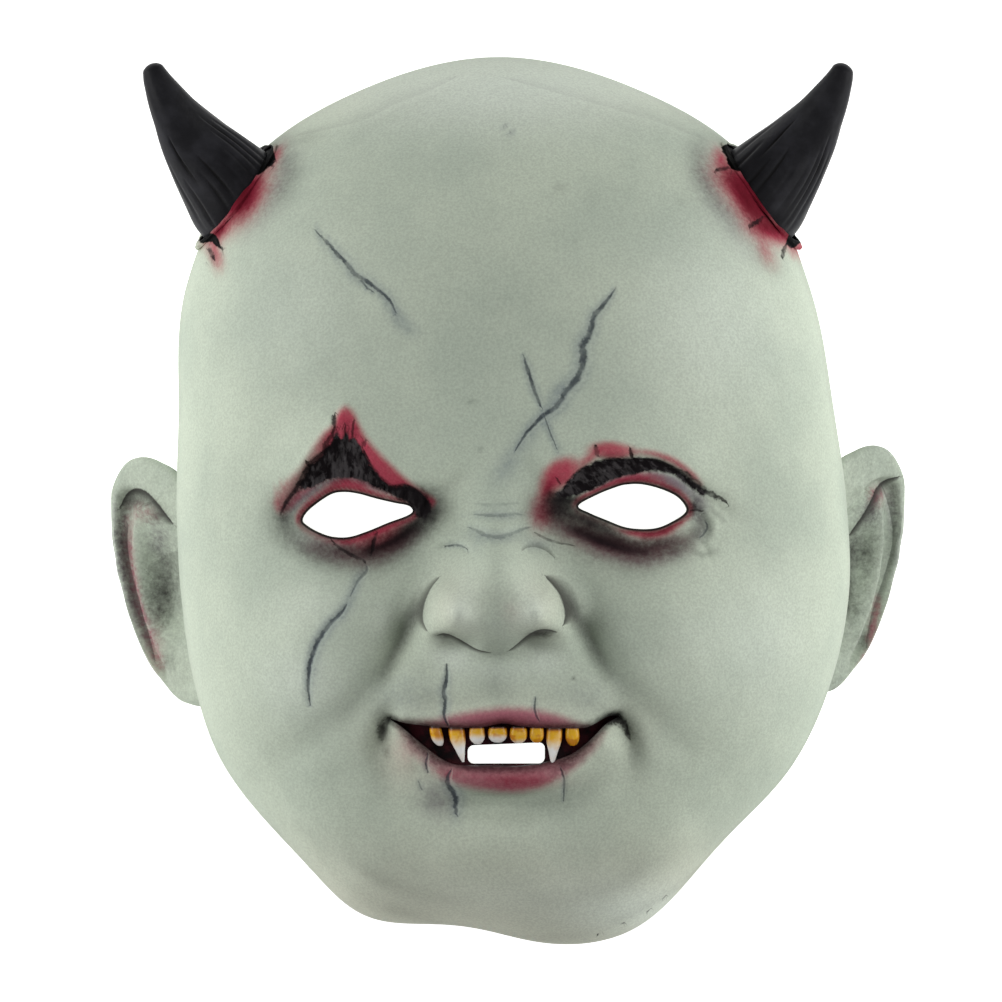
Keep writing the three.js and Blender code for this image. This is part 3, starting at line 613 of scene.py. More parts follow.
def fine_relief(x, y):
    """Relief of the outer skin alone: lids, wrinkles, torn brows, nostrils, lips and cracks."""
    eye = eye_gap(x, y)
    mouth = from_line(x, y, MOUTH_LINE, True)[0]

    def cut(depth, width, *points):
        return -depth * ridge(x, y, points, width)

    def lift(height, width, *points):
        return height * ridge(x, y, points, width)

    wound = patch(x, y, LEFT_WOUND_DARK, 1.0)
    brow = patch(x, y, RIGHT_BROW_DARK, 1.0)
    nose = patch(x, y, NOSE_EDGE, 0.7) * smooth_step(-y, 18, 29)
    relief = (
        # Lid rims roll in to the holes, with a fold above and a bag below each
        0.9 * np.exp(-(((eye - 2.2) / 1.4) ** 2)) - 1.2 * np.exp(-((eye / 1.0) ** 2))
        + cut(1.0, 1.8, (-69, -11), (-60, -17.5), (-50, -19), (-38, -16), (-27, -9))
        + cut(1.3, 1.9, (17, -6.5), (24, -10), (32, -12.8), (40, -15), (48, -15.8), (56, -14), (64, -9))
        + lift(1.3, 3.2, (-66, -14), (-54, -14.5), (-42, -13), (-32, -8.5))
        + lift(1.5, 2.6, (26, -6.5), (36, -11), (46, -12.8), (55, -11.6), (62, -7))
        + lift(0.6, 1.4, (22, -13), (34, -17), (48, -19), (62, -15), (70, -9))
        + cut(0.5, 1.2, (-74, -10), (-66, -18), (-54, -22), (-42, -21))
        # Torn brows: raised red edges, and a sunk dark middle with strands
        + lift(1.3, 1.7, (-72, 3), (-66.6, 8.6), (-61.5, 15.4), (-56, 22), (-51, 28.4))
        + lift(1.5, 2.0, (-49, 28), (-43.6, 19.6), (-37.5, 13.2), (-31, 7.4), (-25, 2.4))
        - wound * (1.3 + 0.5 * ripple(x * 2.2, y, 6.5, 5))
        + lift(1.2, 1.1, (-62, 3.4), (-56, 6.6), (-50, 8), (-44, 6.8), (-39, 4.4))
        - brow * (0.9 + 0.35 * ripple(x * 1.4 - y, y, 6, 6))
        + lift(0.9, 1.3, (24, 11.6), (31, 14.6), (40, 16), (50, 15), (58, 11.6), (64, 6))
        + lift(0.8, 1.1, (28, 2.4), (36, 7.6), (44, 9.4), (52, 8.6), (58, 4.6))
        + 1.7 * swell(x, y, (19.4, 9.4), 4.6, 4.2, 4.2, 20, 1.6)
        + 1.7 * swell(x, y, (35.2, 16.6), 5.2, 2.4, 2.4, 0, 1.6)
        + 1.3 * swell(x, y, (-50.4, 28), 2.4, 3.4, 3.4, 0, 1.6)
        # The frown is shallow, and the bridge has fine folds
        + lift(1.6, 3.2, (-23, 4), (-15, 8.5), (-8, 14.5))
        + cut(0.4, 1.2, (-20, 3.6), (-15, 6.4), (-11, 9.4))
        + cut(0.6, 1.1, (-9, -4.4), (-1.5, -4.7), (7, -4.4))
        + cut(0.4, 1.1, (-9, -0.8), (-2, -1.2), (7, -0.6))
        + cut(0.9, 1.3, (-11, -8), (-8, -9.4), (-1, -11.6), (3, -10.6), (10, -8))
        + lift(0.7, 1.3, (-11, -6.2), (-2, -8.8), (8, -6.4))
        + cut(0.8, 0.9, (-19, -14.9), (-14, -14.1), (-10.2, -16))
        + lift(0.6, 1.2, (-18, -12.8), (-13, -12.4), (-9, -14))
        + cut(0.9, 0.9, (6.4, -16.4), (9, -14.9), (12, -15.2), (17, -18.6))
        + lift(0.6, 1.2, (6, -14.4), (11, -12.2), (17, -15.4))
        + cut(0.8, 1.0, (64, -4.5), (67, -7.6), (66, -11.4))
        + lift(0.6, 1.0, (66, -3), (69.6, -6.4), (69, -10))
        + cut(0.6, 0.9, (66, 1), (71, -2), (75, -5)) + cut(0.6, 1.0, (62, -11), (66, -14.6), (68, -19))
        # One broad, even front from the tip of the nose to its wings, with a sharp edge round it
        + 5.0 * swell(x, y, (-15, -33.5), 8, 10.5, 11, 10)
        + 5.0 * swell(x, y, (11.5, -33.5), 8, 10.5, 11, -10)
        + 0.8 * nose
        + cut(1.4, 2.0, (-22, -25), (-25.8, -31), (-27, -36), (-26, -41))
        + cut(1.6, 2.0, (17, -24.6), (21, -30), (22.6, -35.5), (21.6, -40))
        + cut(0.9, 1.0, (-21, -43.6), (-18, -43.2), (-14.5, -44.6))
        + cut(1.2, 1.2, (7, -45), (11, -42.6), (17, -42.4))
        + lift(2.2, 5.0, (-21, -48), (-10, -52), (0, -53.6), (10, -51.6), (20, -47.4))
        # Folds past the mouth, sharper near the nose and filled a little further down
        + cut(1.5, 2.2, (-26, -32), (-30, -40), (-34, -48), (-38, -56))
        + cut(1.5, 2.2, (22, -32), (26, -40), (30.5, -48), (34, -54))
        + lift(1.8, 4.5, (-44, -63), (-54, -73), (-70, -84))
        + lift(1.8, 4.5, (40, -61), (48, -69), (61, -80))
        # Lips roll in to the mouth, with small upright creases
        - 2.0 * np.exp(-((mouth / 1.2) ** 2))
        + 0.2 * np.sin(x * 1.9 + 1.4 * np.sin(x * 0.61))
        * np.exp(-(((mouth - 3) / 1.8) ** 2)) * smooth_step(-y, 72, 76)
        + cut(0.7, 1.5, (-35.4, -70), (-37.4, -71.6), (-38.6, -74.6), (-38.4, -78))
        + cut(0.6, 1.7, (32.6, -71.4), (35.6, -69.9), (37.6, -70.2), (40, -72.8), (41.8, -77.4))
        + cut(1.0, 4.0, (-40, -78), (-39, -84), (-36, -90))
        + cut(1.0, 4.0, (43.5, -78), (43, -84), (38, -90))
        + cut(0.7, 1.4, (-27, -87), (-13, -93.6), (3, -95.4), (18, -92.8), (30, -84))
        # Neck folds under the chin
        + lift(0.8, 3.0, (-66, -103), (-48, -115), (-30, -124), (-12, -128))
        + cut(0.7, 3.0, (-66, -108), (-48, -120), (-30, -128))
        + lift(0.7, 4.0, (10, -126), (34, -121), (58, -106))
        # Crest over the crown, and the soft crease inside the right outline
        + lift(1.5, 2.6, (-72, 122), (-47, 125.6), (-36, 131.4), (-25, 135.5), (-12, 142))
        + lift(1.5, 2.6, (0, 140.6), (26.5, 133), (50, 126.6), (70, 119.8), (82, 115))
        + cut(1.0, 3.4, (-60, 128.6), (-38, 137), (-22, 142))
        + cut(1.0, 3.4, (16, 142.4), (38, 136), (62, 127.6))
        + lift(0.7, 3.0, (98, 84), (103, 57))
        + lift(1.3, 2.8, (-36, -130.6), (-16, -137), (6, -140.4), (26, -139.6))
        + lift(1.2, 2.6, (34, -136.6), (52, -128), (66, -119.6), (76, -112))
        # Slow unevenness of a hand-cast skin
        + 0.4 * ripple(x, y, 46, 1) + 0.14 * ripple(x, y, 15, 2)
    )
    for rows in (*CRACKS_AND_CREASES, *INKS):
        value, drawn = inked(x, y, rows)
        relief = relief - 0.5 * drawn * np.exp(-((value / 1.3) ** 2))
    for side in (-1, 1):
        line = horn_foot(side)[0][::6, :2]
        near = near_box(x, y, line, FOOT_SWELL["reach"])
        gap = from_line(x[near], y[near], line, True)[0]
        relief[near] += FOOT_SWELL["height"] * np.exp(-((gap / FOOT_SWELL["width"]) ** 2))
    return relief


def front_height(x, y, inside=False, fine=False):
    """Height of the face at a place: a superellipse from the top of the face to the waist, plus the
    forms where the surface still looks forwards."""
    away, angle = from_pole(x, y)
    share = np.clip(away / outline_radius(angle), 0, 1)
    rise = (1 - share ** FACE_ROUNDNESS) ** (1 / FACE_ROUNDNESS)
    forms = broad_forms(x, y, inside)
    if fine:
        forms = forms + fine_relief(x, y)
    waist = waist_height(angle)
    return waist + (FACE_TOP - waist) * rise + forms * smooth_step(rise, 0.1, 0.6)


def row_shares(front_rows=None):
    """Shares of the way from the nose to the outline: close together over eyes, nose and mouth, and
    then even in the angle that rounds the dome down to its waist."""
    if front_rows:
        turn = np.linspace(0.03, np.pi / 2, front_rows)
        return np.sin(turn) ** (2 / FACE_ROUNDNESS)
    low, high = CLOSE_ROWS
    inner, close, outer = HEAD_FRONT_ROWS
    turn = np.linspace(math.asin(high ** (FACE_ROUNDNESS / 2)), np.pi / 2, outer)[1:]
    return np.concatenate([
        np.linspace(0.006, low, inner), np.linspace(low, high, close)[1:],
        np.sin(turn) ** (2 / FACE_ROUNDNESS),
    ])


def head_grid(around, front_rows, back_rows, inside=False, fine=False):
    """Rings round the nose pole, from the tip over the face to the waist and down to the rim. In front,
    radius and height follow the superellipse; behind, the radius curls in with the square of the drop."""
    angle = directions(around)[None, :]
    shares = row_shares(front_rows)[:, None]
    out = outline_radius(angle) * shares
    z = front_height(*round_pole(out, angle), inside, fine)
    out = out + NECK_FILL * neck_flare(angle) * smooth_step(shares, 0.7, 1)
    front = np.stack([*round_pole(out, angle), z], -1)
    front[-1, :, 2] = waist_height(angle[0])
    back = (np.arange(1, back_rows + 1) / back_rows)[:, None]
    flare = NECK_FILL + (1 - NECK_FILL) * smooth_step(back, 0, 0.3)
    out = outline_radius(angle) * (1 - RIM_CURL * back * back) + neck_flare(angle) * flare
    if fine:
        middle_z = waist_height(angle) * (1 - back)
        out = out + 0.4 * smooth_step(back, 0, 0.3) * ripple(angle * 120, middle_z, 40, 3)
        nicks = smooth_step(np.sin(angle * 61) + np.sin(angle * 37 + 1), 1.3, 1.9)
        out = out - 0.9 * nicks * smooth_step(back, 0.1, 0.5) * smooth_step(-np.sin(angle), 0.8, 0.95)
    rest = np.stack([*round_pole(out, angle), waist_height(angle) * (1 - back)], -1)
    return np.concatenate([front, rest])


def set_in(grid, depth):
    """A grid moved inwards by a depth along its normals, which are the cross product of its slopes."""
    down = np.gradient(grid, axis=0)
    wrapped = np.concatenate([grid[:, -1:], grid, grid[:, :1]], 1)
    sideways = (wrapped[:, 2:] - wrapped[:, :-2]) / 2
    normal = np.cross(down, sideways)
    normal /= np.linalg.norm(normal, axis=-1, keepdims=True)
    moved = grid - normal * depth
    moved[-1, :, 2] = 0
    return moved


def turned_out(points, *groups):
    """Faces of a closed body from groups of corner numbers, turned outwards by the sign of its volume."""
    volume = 0.0
    for group in groups:
        first, *rest = (points[group[:, k]] for k in range(group.shape[1]))
        for second, third in zip(rest, rest[1:]):
            volume += (first * np.cross(second, third)).sum()
    faces = [face for group in groups for face in group.tolist()]
    return [face[::-1] for face in faces] if volume < 0 else faces


def ring_body(rings):
    """Vertices and faces of a closed body through rings of points, with a fan over each end."""
    rows, around = rings.shape[:2]
    points = np.concatenate([rings.reshape(-1, 3), rings[0].mean(0)[None], rings[-1].mean(0)[None]])
    index = np.arange(rows * around).reshape(rows, around)
    nexts = np.roll(index, -1, 1)
    quads = np.stack([index[:-1], nexts[:-1], nexts[1:], index[1:]], -1).reshape(-1, 4)
    start, end = rows * around, rows * around + 1
    first = np.stack([np.full(around, start), nexts[0], index[0]], -1)
    last = np.stack([np.full(around, end), index[-1], nexts[-1]], -1)
    return points, turned_out(points, quads, first, last)


def slab_body(bottom, top):
    """Vertices and faces of a closed body between two grids of the same shape."""
    rows, columns = bottom.shape[:2]
    count = rows * columns
    points = np.concatenate([bottom.reshape(-1, 3), top.reshape(-1, 3)])
    index = np.arange(count).reshape(rows, columns)
    quads = np.stack([index[:-1, :-1], index[:-1, 1:], index[1:, 1:], index[1:, :-1]], -1).reshape(-1, 4)
    edge = np.concatenate([index[0, :-1], index[:-1, -1], index[-1, :0:-1], index[:0:-1, 0]])
    following = np.roll(edge, -1)
    walls = np.stack([edge, following, following + count, edge + count], -1)
    faces = [*quads[:, ::-1].tolist(), *(quads + count).tolist(), *walls.tolist()]
    a, b, c = (points[quads[0, k] + count] for k in range(3))
    if np.cross(b - a, c - a)[2] < 0:
        faces = [face[::-1] for face in faces]
    return points, faces


def prism_body(line, low, high):
    """A straight column over a closed line, as two rings with a fan over each end."""
    line = np.asarray(line, float)
    rings = [np.column_stack([line, np.full(len(line), z)]) for z in (low, high)]
    return ring_body(np.array(rings))


def new_object(name, body, materials):
    """An object of a body in face millimetres, placed in the model's frame in metres."""
    points, faces = body
    placed = (np.asarray(points) + (SHIFT_X, SHIFT_Y, 0)) * MM
    mesh = bpy.data.meshes.new(name)
    mesh.from_pydata(placed.tolist(), [], faces)
    mesh.update()
    thing = bpy.data.objects.new(name, mesh)
    bpy.context.scene.collection.objects.link(thing)
    for material in materials:
        mesh.materials.append(material)
    return thing


def combine(thing, steps):
    """Joins bodies to an object, or cuts them from it, in order, and keeps the resulting mesh."""
    helpers = []
    for number, (operation, body, material) in enumerate(steps):
        helper = new_object(f"helper_{number}", body, [material])
        modifier = thing.modifiers.new(helper.name, "BOOLEAN")
        modifier.operation = operation
        modifier.solver = "MANIFOLD"
        modifier.material_mode = "TRANSFER"
        modifier.object = helper
        helpers.append(helper)
    graph = bpy.context.evaluated_depsgraph_get()
    mesh = bpy.data.meshes.new_from_object(thing.evaluated_get(graph))
    thing.modifiers.clear()
    old = thing.data
    thing.data = mesh
    bpy.data.meshes.remove(old)
    for helper in helpers:
        bpy.data.objects.remove(helper)
    return thing


def places(mesh):
    """Vertices of a mesh in face millimetres."""
    co = np.empty(len(mesh.vertices) * 3)
    mesh.vertices.foreach_get("co", co)
    return co.reshape(-1, 3) / MM - (SHIFT_X, SHIFT_Y, 0)


def keep_value(mesh, name, values):
    """A number on each vertex, for materials to read."""
    attribute = mesh.attributes.new(name, "FLOAT", "POINT")
    attribute.data.foreach_set("value", np.ascontiguousarray(values, dtype=np.float32))


def on_material(mesh, name):
    """True for each vertex that touches a face of a named material."""
    index = np.empty(len(mesh.polygons), int)
    mesh.polygons.foreach_get("material_index", index)
    wanted = [k for k, material in enumerate(mesh.materials) if material.name == name]
    corners = np.empty(len(mesh.loops), int)
    mesh.loops.foreach_get("vertex_index", corners)
    totals = np.empty(len(mesh.polygons), int)
    mesh.polygons.foreach_get("loop_total", totals)
    hit = np.repeat(np.isin(index, wanted), totals)
    found = np.zeros(len(mesh.vertices), bool)
    found[corners[hit]] = True
    return found


def layered(*coverages):
    """Coverage of several coats over each other: one minus the product of what each leaves bare."""
    bare = 1.0
    for coverage in coverages:
        bare = bare * (1 - np.clip(coverage, 0, 1))
    return 1 - bare


def airbrush(x, y):
    """Two functions for one pass of an airbrush over places: along a line, and as a round puff. Each
    is full in its middle and fades as e to the minus distance squared."""
    def line(strength, width, *points):
        return strength * ridge(x, y, points, width, 4)

    def puff(strength, place, across, above, turn=0.0):
        return strength * swell(x, y, place, across, above, above, turn)

    return line, puff


class Wiring:
    """Short calls for building a material's nodes."""

    def __init__(self, name):
        self.material = bpy.data.materials.new(name)
        self.material.use_nodes = True
        self.tree = self.material.node_tree
        self.shader = self.tree.nodes["Principled BSDF"]

    def node(self, kind, **settings):
        made = self.tree.nodes.new(kind)
        for name, value in settings.items():
            setattr(made, name, value)
        return made

    def feed(self, socket, value):
        if isinstance(value, bpy.types.NodeSocket):
            self.tree.links.new(value, socket)
        else:
            socket.default_value = value

    def math(self, operation, first, second=0.0, clamp=False):
        made = self.node("ShaderNodeMath", operation=operation, use_clamp=clamp)
        self.feed(made.inputs[0], first)
        self.feed(made.inputs[1], second)
        return made.outputs[0]

    def times(self, first, second, clamp=False):
        return self.math("MULTIPLY", first, second, clamp)

    def plus(self, first, second, clamp=False):
        return self.math("ADD", first, second, clamp)

    def spread(self, value, low, high, start=0.0, end=1.0):
        made = self.node("ShaderNodeMapRange", interpolation_type="SMOOTHSTEP")
        names = ("Value", "From Min", "From Max", "To Min", "To Max")
        for name, given in zip(names, (value, low, high, start, end)):
            self.feed(made.inputs[name], given)
        return made.outputs["Result"]

    def mix(self, factor, first, second):
        made = self.node("ShaderNodeMix", data_type="RGBA", clamp_factor=True)
        self.feed(made.inputs[0], factor)
        self.feed(made.inputs[6], first)
        self.feed(made.inputs[7], second)
        return made.outputs[2]

    def noise(self, scale, detail=3.0, roughness=0.5, stretch=None, turn=0.0):
        place = self.node("ShaderNodeTexCoord").outputs["Object"]
        turned = (0, 0, turn) if turn else None
        for name, setting in (("Rotation", turned), ("Scale", stretch)):
            if setting:
                mapping = self.node("ShaderNodeMapping")
                mapping.inputs[name].default_value = setting
                self.feed(mapping.inputs["Vector"], place)
                place = mapping.outputs["Vector"]
        made = self.node("ShaderNodeTexNoise")
        self.feed(made.inputs["Vector"], place)
        made.inputs["Scale"].default_value = scale
        made.inputs["Detail"].default_value = detail
        made.inputs["Roughness"].default_value = roughness
        return made.outputs["Fac"]

    def value(self, name):
        return self.node("ShaderNodeAttribute", attribute_name=name).outputs["Fac"]

    def bump(self, height, distance, strength=1.0, under=None):
        made = self.node("ShaderNodeBump")
        made.inputs["Distance"].default_value = distance
        made.inputs["Strength"].default_value = strength
        self.feed(made.inputs["Height"], height)
        if under:
            self.feed(made.inputs["Normal"], under)
        return made.outputs["Normal"]

    def surface(self, tint, roughness, normal, specular=None):
        """The finished material."""
        self.feed(self.shader.inputs["Base Color"], tint)
        self.feed(self.shader.inputs["Roughness"], roughness)
        self.feed(self.shader.inputs["Normal"], normal)
        if specular is not None:
            self.shader.inputs["Specular IOR Level"].default_value = specular
        return self.material


def colour(value):
    """A colour property as four numbers for a socket."""
    return (*value, 1.0)


def colour_setting(name, description, default):
    """A colour that a user can change, as red, green and blue from 0 to 1."""
    return FloatVectorProperty(
        name=name, description=description, subtype="COLOR", size=3, min=0, max=1, default=default)


class SkinSettings(PropertyGroup):
    base: colour_setting(
        name="Skin", description="Main grey-green of the skin",
        default=(0.568, 0.636, 0.52))
    cool: colour_setting(
        name="Cool mottling", description="Cooler, darker grey-green in soft clouds",
        default=(0.488, 0.556, 0.46))
    # Dark airbrush paint, partly painted shade in folds, creases, hollows and along the outline, and the
    # colour of the painted shadows on edges
    smoke_and_painted_shade: colour_setting(
        name="Smoke", description="Airbrushed shading",
        default=(0.045, 0.042, 0.04))
    red: colour_setting(
        name="Red", description="Airbrushed red round the eyes and horns",
        default=(0.42, 0.035, 0.075))
    black: colour_setting(
        name="Black", description="Black of the torn brows and lines",
        default=(0.010, 0.008, 0.009))
    crimson: colour_setting(
        name="Crimson", description="Deep red next to the horns and in the lids",
        default=(0.12, 0.008, 0.016))
    lip: colour_setting(
        name="Lips", description="Dusty rose of the lips",
        default=(0.40, 0.125, 0.165))
    # Painted light: paler skin laid over shaded places, and painted highlights along rims
    painted_light: colour_setting(
        name="Pale skin", description="Paler, airbrushed parts of the skin",
        default=(0.74, 0.81, 0.71))
    # Blue-grey round the cracks, also painted as shade on the bridge, nose, philtrum and cheeks
    halo_and_painted_shade: colour_setting(
        name="Crack halo", description="Blue-grey along the cracks",
        default=(0.22, 0.26, 0.28))
    warm: colour_setting(
        name="Warm skin", description="Creamier skin of neck and nose",
        default=(0.64, 0.61, 0.50))
    violet: colour_setting(
        name="Violet shade", description="Grey-violet on lids, smudges and ears",
        default=(0.20, 0.17, 0.20))
    flesh: colour_setting(
        name="Torn flesh", description="Dark grey of the torn brows",
        default=(0.060, 0.055, 0.057))
    # Blue-black of the drawn cracks, also painted as shade in the creases
    crack: colour_setting(
        name="Cracks", description="Blue-black of the drawn cracks",
        default=(0.045, 0.055, 0.066))
    inside: colour_setting(
        name="Bare latex", description="Unpainted latex inside the mask and at its cut edges",
        default=(0.50, 0.53, 0.46))
    speckle: FloatProperty(
        name="Speckle", description="Strength of the fine grain in the paint", default=0.09, min=0, max=0.5)
    ragged: FloatProperty(
        name="Line raggedness", description="How far drawn lines wander, in half widths", default=1.5,
        min=0, max=4)


class ToothSettings(PropertyGroup):
    ivory: colour_setting(
        name="Ivory", description="Pale tips of the teeth",
        default=(0.97, 0.97, 0.94))
    stain: colour_setting(
        name="Stain", description="Yellow stain of the teeth",
        default=(0.92, 0.50, 0.006))


class HornSettings(PropertyGroup):
    black: colour_setting(
        name="Horn black", description="Colour of the horns",
        default=(0.0115, 0.0115, 0.0138))
    # Grey in soft clouds over the horns: partly dust, partly painted sheen
    dust_and_sheen: colour_setting(
        name="Horn bloom", description="Grey bloom on raised parts",
        default=(0.025, 0.025, 0.03))
    groove: FloatProperty(
        name="Groove depth", description="Depth of the lengthwise grooves", default=0.0009,
        min=0, max=0.003, unit="LENGTH", precision=5)


class StageSettings(PropertyGroup):
    floor: colour_setting(
        name="Floor", description="Colour of the floor",
        default=(0.9, 0.9, 0.9))
    glow: FloatProperty(
        name="Floor glow", description="How much the floor lights itself", default=0.95, min=0, max=2)
    side_light: FloatProperty(
        name="Side lights", description="Power of each side light", default=4.5,
        min=0, max=200, unit="POWER")
    top_light: FloatProperty(
        name="Top light", description="Power of the soft light over the mask", default=1.2, min=0, max=200,
        unit="POWER")
    sky: FloatProperty(
        name="Sky", description="Brightness of the even light all round", default=0.14, min=0, max=2)
    camera_height: FloatProperty(
        name="Camera height", description="Height of the camera over the rim", default=1.6, min=0.5, max=5,
        unit="LENGTH")
    view_width: FloatProperty(
        name="View width", description="Width seen at the height of the rim", default=0.3517,
        min=0.1, max=2, unit="LENGTH")


def skin_material(name, settings, mottle=1.0):
    """Painted latex: mottled skin, then coats of paint by the coverage values on the mesh, most ragged
    where they are half covered, some of them painted light and painted shade, then torn flesh, drawn
    lines with a painted highlight beside the cracks, painted shadows on edges, and a matt surface with
    pores."""
    w = Wiring(name)
    grain = w.noise(1300, 2, 0.65)
    fleck = w.math("SUBTRACT", w.noise(560, 3, 0.65), 0.5)
    drift = w.math("SUBTRACT", w.noise(130, 3, 0.6), 0.5)
    uneven = w.plus(fleck, w.times(drift, 0.6))

    def coat(tint, coverage, paint, raggedness):
        amount = w.value(coverage)
        half = w.times(amount, w.math("SUBTRACT", 1.0, amount))
        spots = w.times(w.times(half, uneven), raggedness * mottle)
        return w.mix(w.plus(amount, spots, clamp=True), tint, colour(paint))

    tint = w.mix(w.spread(w.noise(26, 4, 0.55), 0.32, 0.7), colour(settings.base), colour(settings.cool))
    tint = coat(tint, "warm", settings.warm, 1.0)
    # Painted light over places the relief leaves shaded
    tint = coat(tint, "painted_light", settings.painted_light, 1.0)
    # Blue-grey round the cracks, and painted shade on folds, nose and cheeks
    tint = coat(tint, "halo_and_painted_shade", settings.halo_and_painted_shade, 2.5)
    tint = coat(tint, "violet", settings.violet, 2.5)
    # Dark airbrush paint, partly painted shade
    tint = coat(tint, "smoke_and_painted_shade", settings.smoke_and_painted_shade, 1.6)
    tint = coat(tint, "lip", settings.lip, 2.0)
    tint = coat(tint, "red", settings.red, 1.6)
    tint = coat(tint, "crimson", settings.crimson, 2.6)
    height = w.times(grain, 0.35)
    border = w.times(w.plus(fleck, drift), 2.0)
    # The lighter ends of the torn strands are painted highlights
    strand_highlight = tuple(1.4 * c for c in settings.flesh)
    for depth, turn in (("torn_left", 0.08), ("torn_right", -0.75)):
        strands = w.noise(520, 3, 0.6, (1, 0.2, 1), turn)
        flesh = w.mix(w.spread(strands, 0.42, 0.64), colour(settings.black), colour(settings.flesh))
        ends = w.times(w.spread(w.noise(300, 3, 0.6), 0.56, 0.7), w.spread(strands, 0.5, 0.66))
        flesh = w.mix(ends, flesh, colour(strand_highlight))
        amount = w.spread(w.plus(w.value(depth), border), -0.6, 0.6)
        tint = w.mix(amount, tint, flesh)
        height = w.plus(height, w.times(w.times(strands, amount), 2.2))
    tint = coat(tint, "black", settings.black, 3.0)
    # Near-black painted shadow in the slots at the ends of the horns' feet
    painted_slot_shadow = w.spread(w.plus(w.value("slot_shadow"), w.times(fleck, 0.8)), -0.2, 0.2)
    tint = w.mix(painted_slot_shadow, tint, (0.002, 0.002, 0.002, 1))
    for k in range(len(SHADES)):
        side = w.plus(w.value(f"shade_{k}"), w.times(fleck, 0.12))
        dark = w.times(w.spread(side, -0.06, 0.06), w.spread(side, 1.0, 0.0))
        tint = w.mix(w.times(dark, w.value(f"shade_{k}_near")), tint, colour(settings.smoke_and_painted_shade))
    wander = w.plus(w.times(fleck, 1.7), w.times(drift, 0.6))
    wander = w.times(wander, settings.ragged)
    lines = [(f"ink_{k}", settings.black, 0.9, 0.0) for k in range(len(INKS))]
    lines += [(f"crack_{k}", settings.crack, 0.86, 0.26) for k in range(len(CRACKS_AND_CREASES))]
    # Painted highlight along one side of each crack and crease, in a paler copy of the skin
    painted_light = tuple(min(1.0, 1.2 * c) for c in settings.base)
    worn = w.spread(w.noise(210, 2, 0.6), 0.36, 0.58, 0.6, 1.0)
    for drawn, paint, strength, shine in lines:
        side = w.plus(w.value(drawn), wander)
        near = w.value(drawn + "_near")
        if shine:
            beside = w.math("ABSOLUTE", w.math("SUBTRACT", side, 2.1))
            lit = w.times(w.spread(beside, 1.1, 0.2), near)
            tint = w.mix(w.times(lit, shine), tint, colour(painted_light))
        line = w.times(w.spread(w.math("ABSOLUTE", side), 1.4, 0.5), near)
        tint = w.mix(w.times(line, w.times(worn, strength)), tint, colour(paint))
        height = w.math("SUBTRACT", height, line)
    # A dark band round the eye holes: paint on the lid margins and painted shade of the holes' cut edges
    tint = w.mix(w.spread(w.value("hole_gap"), 1.0, 0.45, 0.0, 0.92), tint, colour(settings.black))
    speckled = w.node("ShaderNodeHueSaturation")
    speckle = w.spread(grain, 0.3, 0.7, 1.0 - settings.speckle, 1.0 + settings.speckle)
    w.feed(speckled.inputs["Value"], speckle)
    w.feed(speckled.inputs["Color"], tint)
    roughness = w.plus(0.56, w.times(grain, 0.14))
    normal = w.bump(w.noise(140, 4, 0.6), 0.0009, 0.4, under=w.bump(height, 0.0002, 0.65))
    return w.surface(speckled.outputs["Color"], roughness, normal, specular=0.02)


def latex_material(name, settings):
    """Bare latex: slightly mottled, with the brush marks of the last coat poured in."""
    w = Wiring(name)
    drips = w.noise(38, 4, 0.6, (1, 1, 0.35))
    dark = tuple(0.7 * c for c in settings.inside)
    tint = w.mix(w.spread(drips, 0.3, 0.75), colour(settings.inside), colour(dark))
    return w.surface(tint, 0.5, w.bump(drips, 0.002, 0.5))


def gum_material(name, settings):
    """Glossy black paint in the mouth, a little red where it thins."""
    w = Wiring(name)
    thin = w.spread(w.noise(160, 3, 0.6), 0.36, 0.66)
    tint = w.mix(thin, colour(settings.black), (0.07, 0.012, 0.018, 1))
    return w.surface(tint, 0.6, w.bump(w.noise(240, 3), 0.0006, 0.6), specular=0.1)


def tooth_material(name, settings):
    """Teeth: ivory with a yellow stain from the gum down, and dark edges: partly painted shade at the gum
    and down the sides, where a tooth turns away, and partly a painted outline.
    """
    w = Wiring(name)
    uneven = w.math("SUBTRACT", w.noise(380, 3, 0.6), 0.5)
    stained = w.plus(w.value("stain"), w.times(uneven, 0.6), clamp=True)
    tint = w.mix(stained, colour(settings.ivory), colour(settings.stain))
    orange = w.times(w.value("stain"), w.spread(w.value("root"), 0.0, 0.8), clamp=True)
    tint = w.mix(orange, tint, (0.70, 0.22, 0.008, 1))
    patches = w.times(w.spread(w.noise(230, 2, 0.5), 0.5, 0.6), w.value("stain"))
    tint = w.mix(w.times(patches, 0.7), tint, (0.62, 0.17, 0.006, 1))
    # Dark brown edges: partly a painted outline, partly painted shade at the gum and down the sides
    tint = w.mix(w.spread(w.value("root"), 0.35, 1.0), tint, (0.06, 0.022, 0.008, 1))
    return w.surface(tint, 0.36, w.bump(w.noise(500, 3), 0.0003, 0.5))


def horn_material(name, settings):
    """Black horn: faint grey in soft clouds, partly dust and partly painted sheen, deep black painted into
    the splits as their shade, and a satin surface.
    """
    w = Wiring(name)
    clouds = w.spread(w.noise(90, 4, 0.6, (1, 1, 0.6)), 0.38, 0.72)
    tint = w.mix(clouds, colour(settings.black), colour(settings.dust_and_sheen))
    # Deep black in the splits, painted as their shade
    tint = w.mix(w.spread(w.value("split"), 0.15, 0.7), tint, (0.004, 0.004, 0.004, 1))
    roughness = w.spread(clouds, 0, 1, 0.42, 0.56)
    return w.surface(tint, roughness, w.bump(w.noise(700, 3, 0.6), 0.0002, 0.4), specular=0.12)


def ear_out(side):
    """The direction in which an ear's front faces."""
    return np.array((side * math.cos(EAR_FLARE), 0, math.sin(EAR_FLARE)))


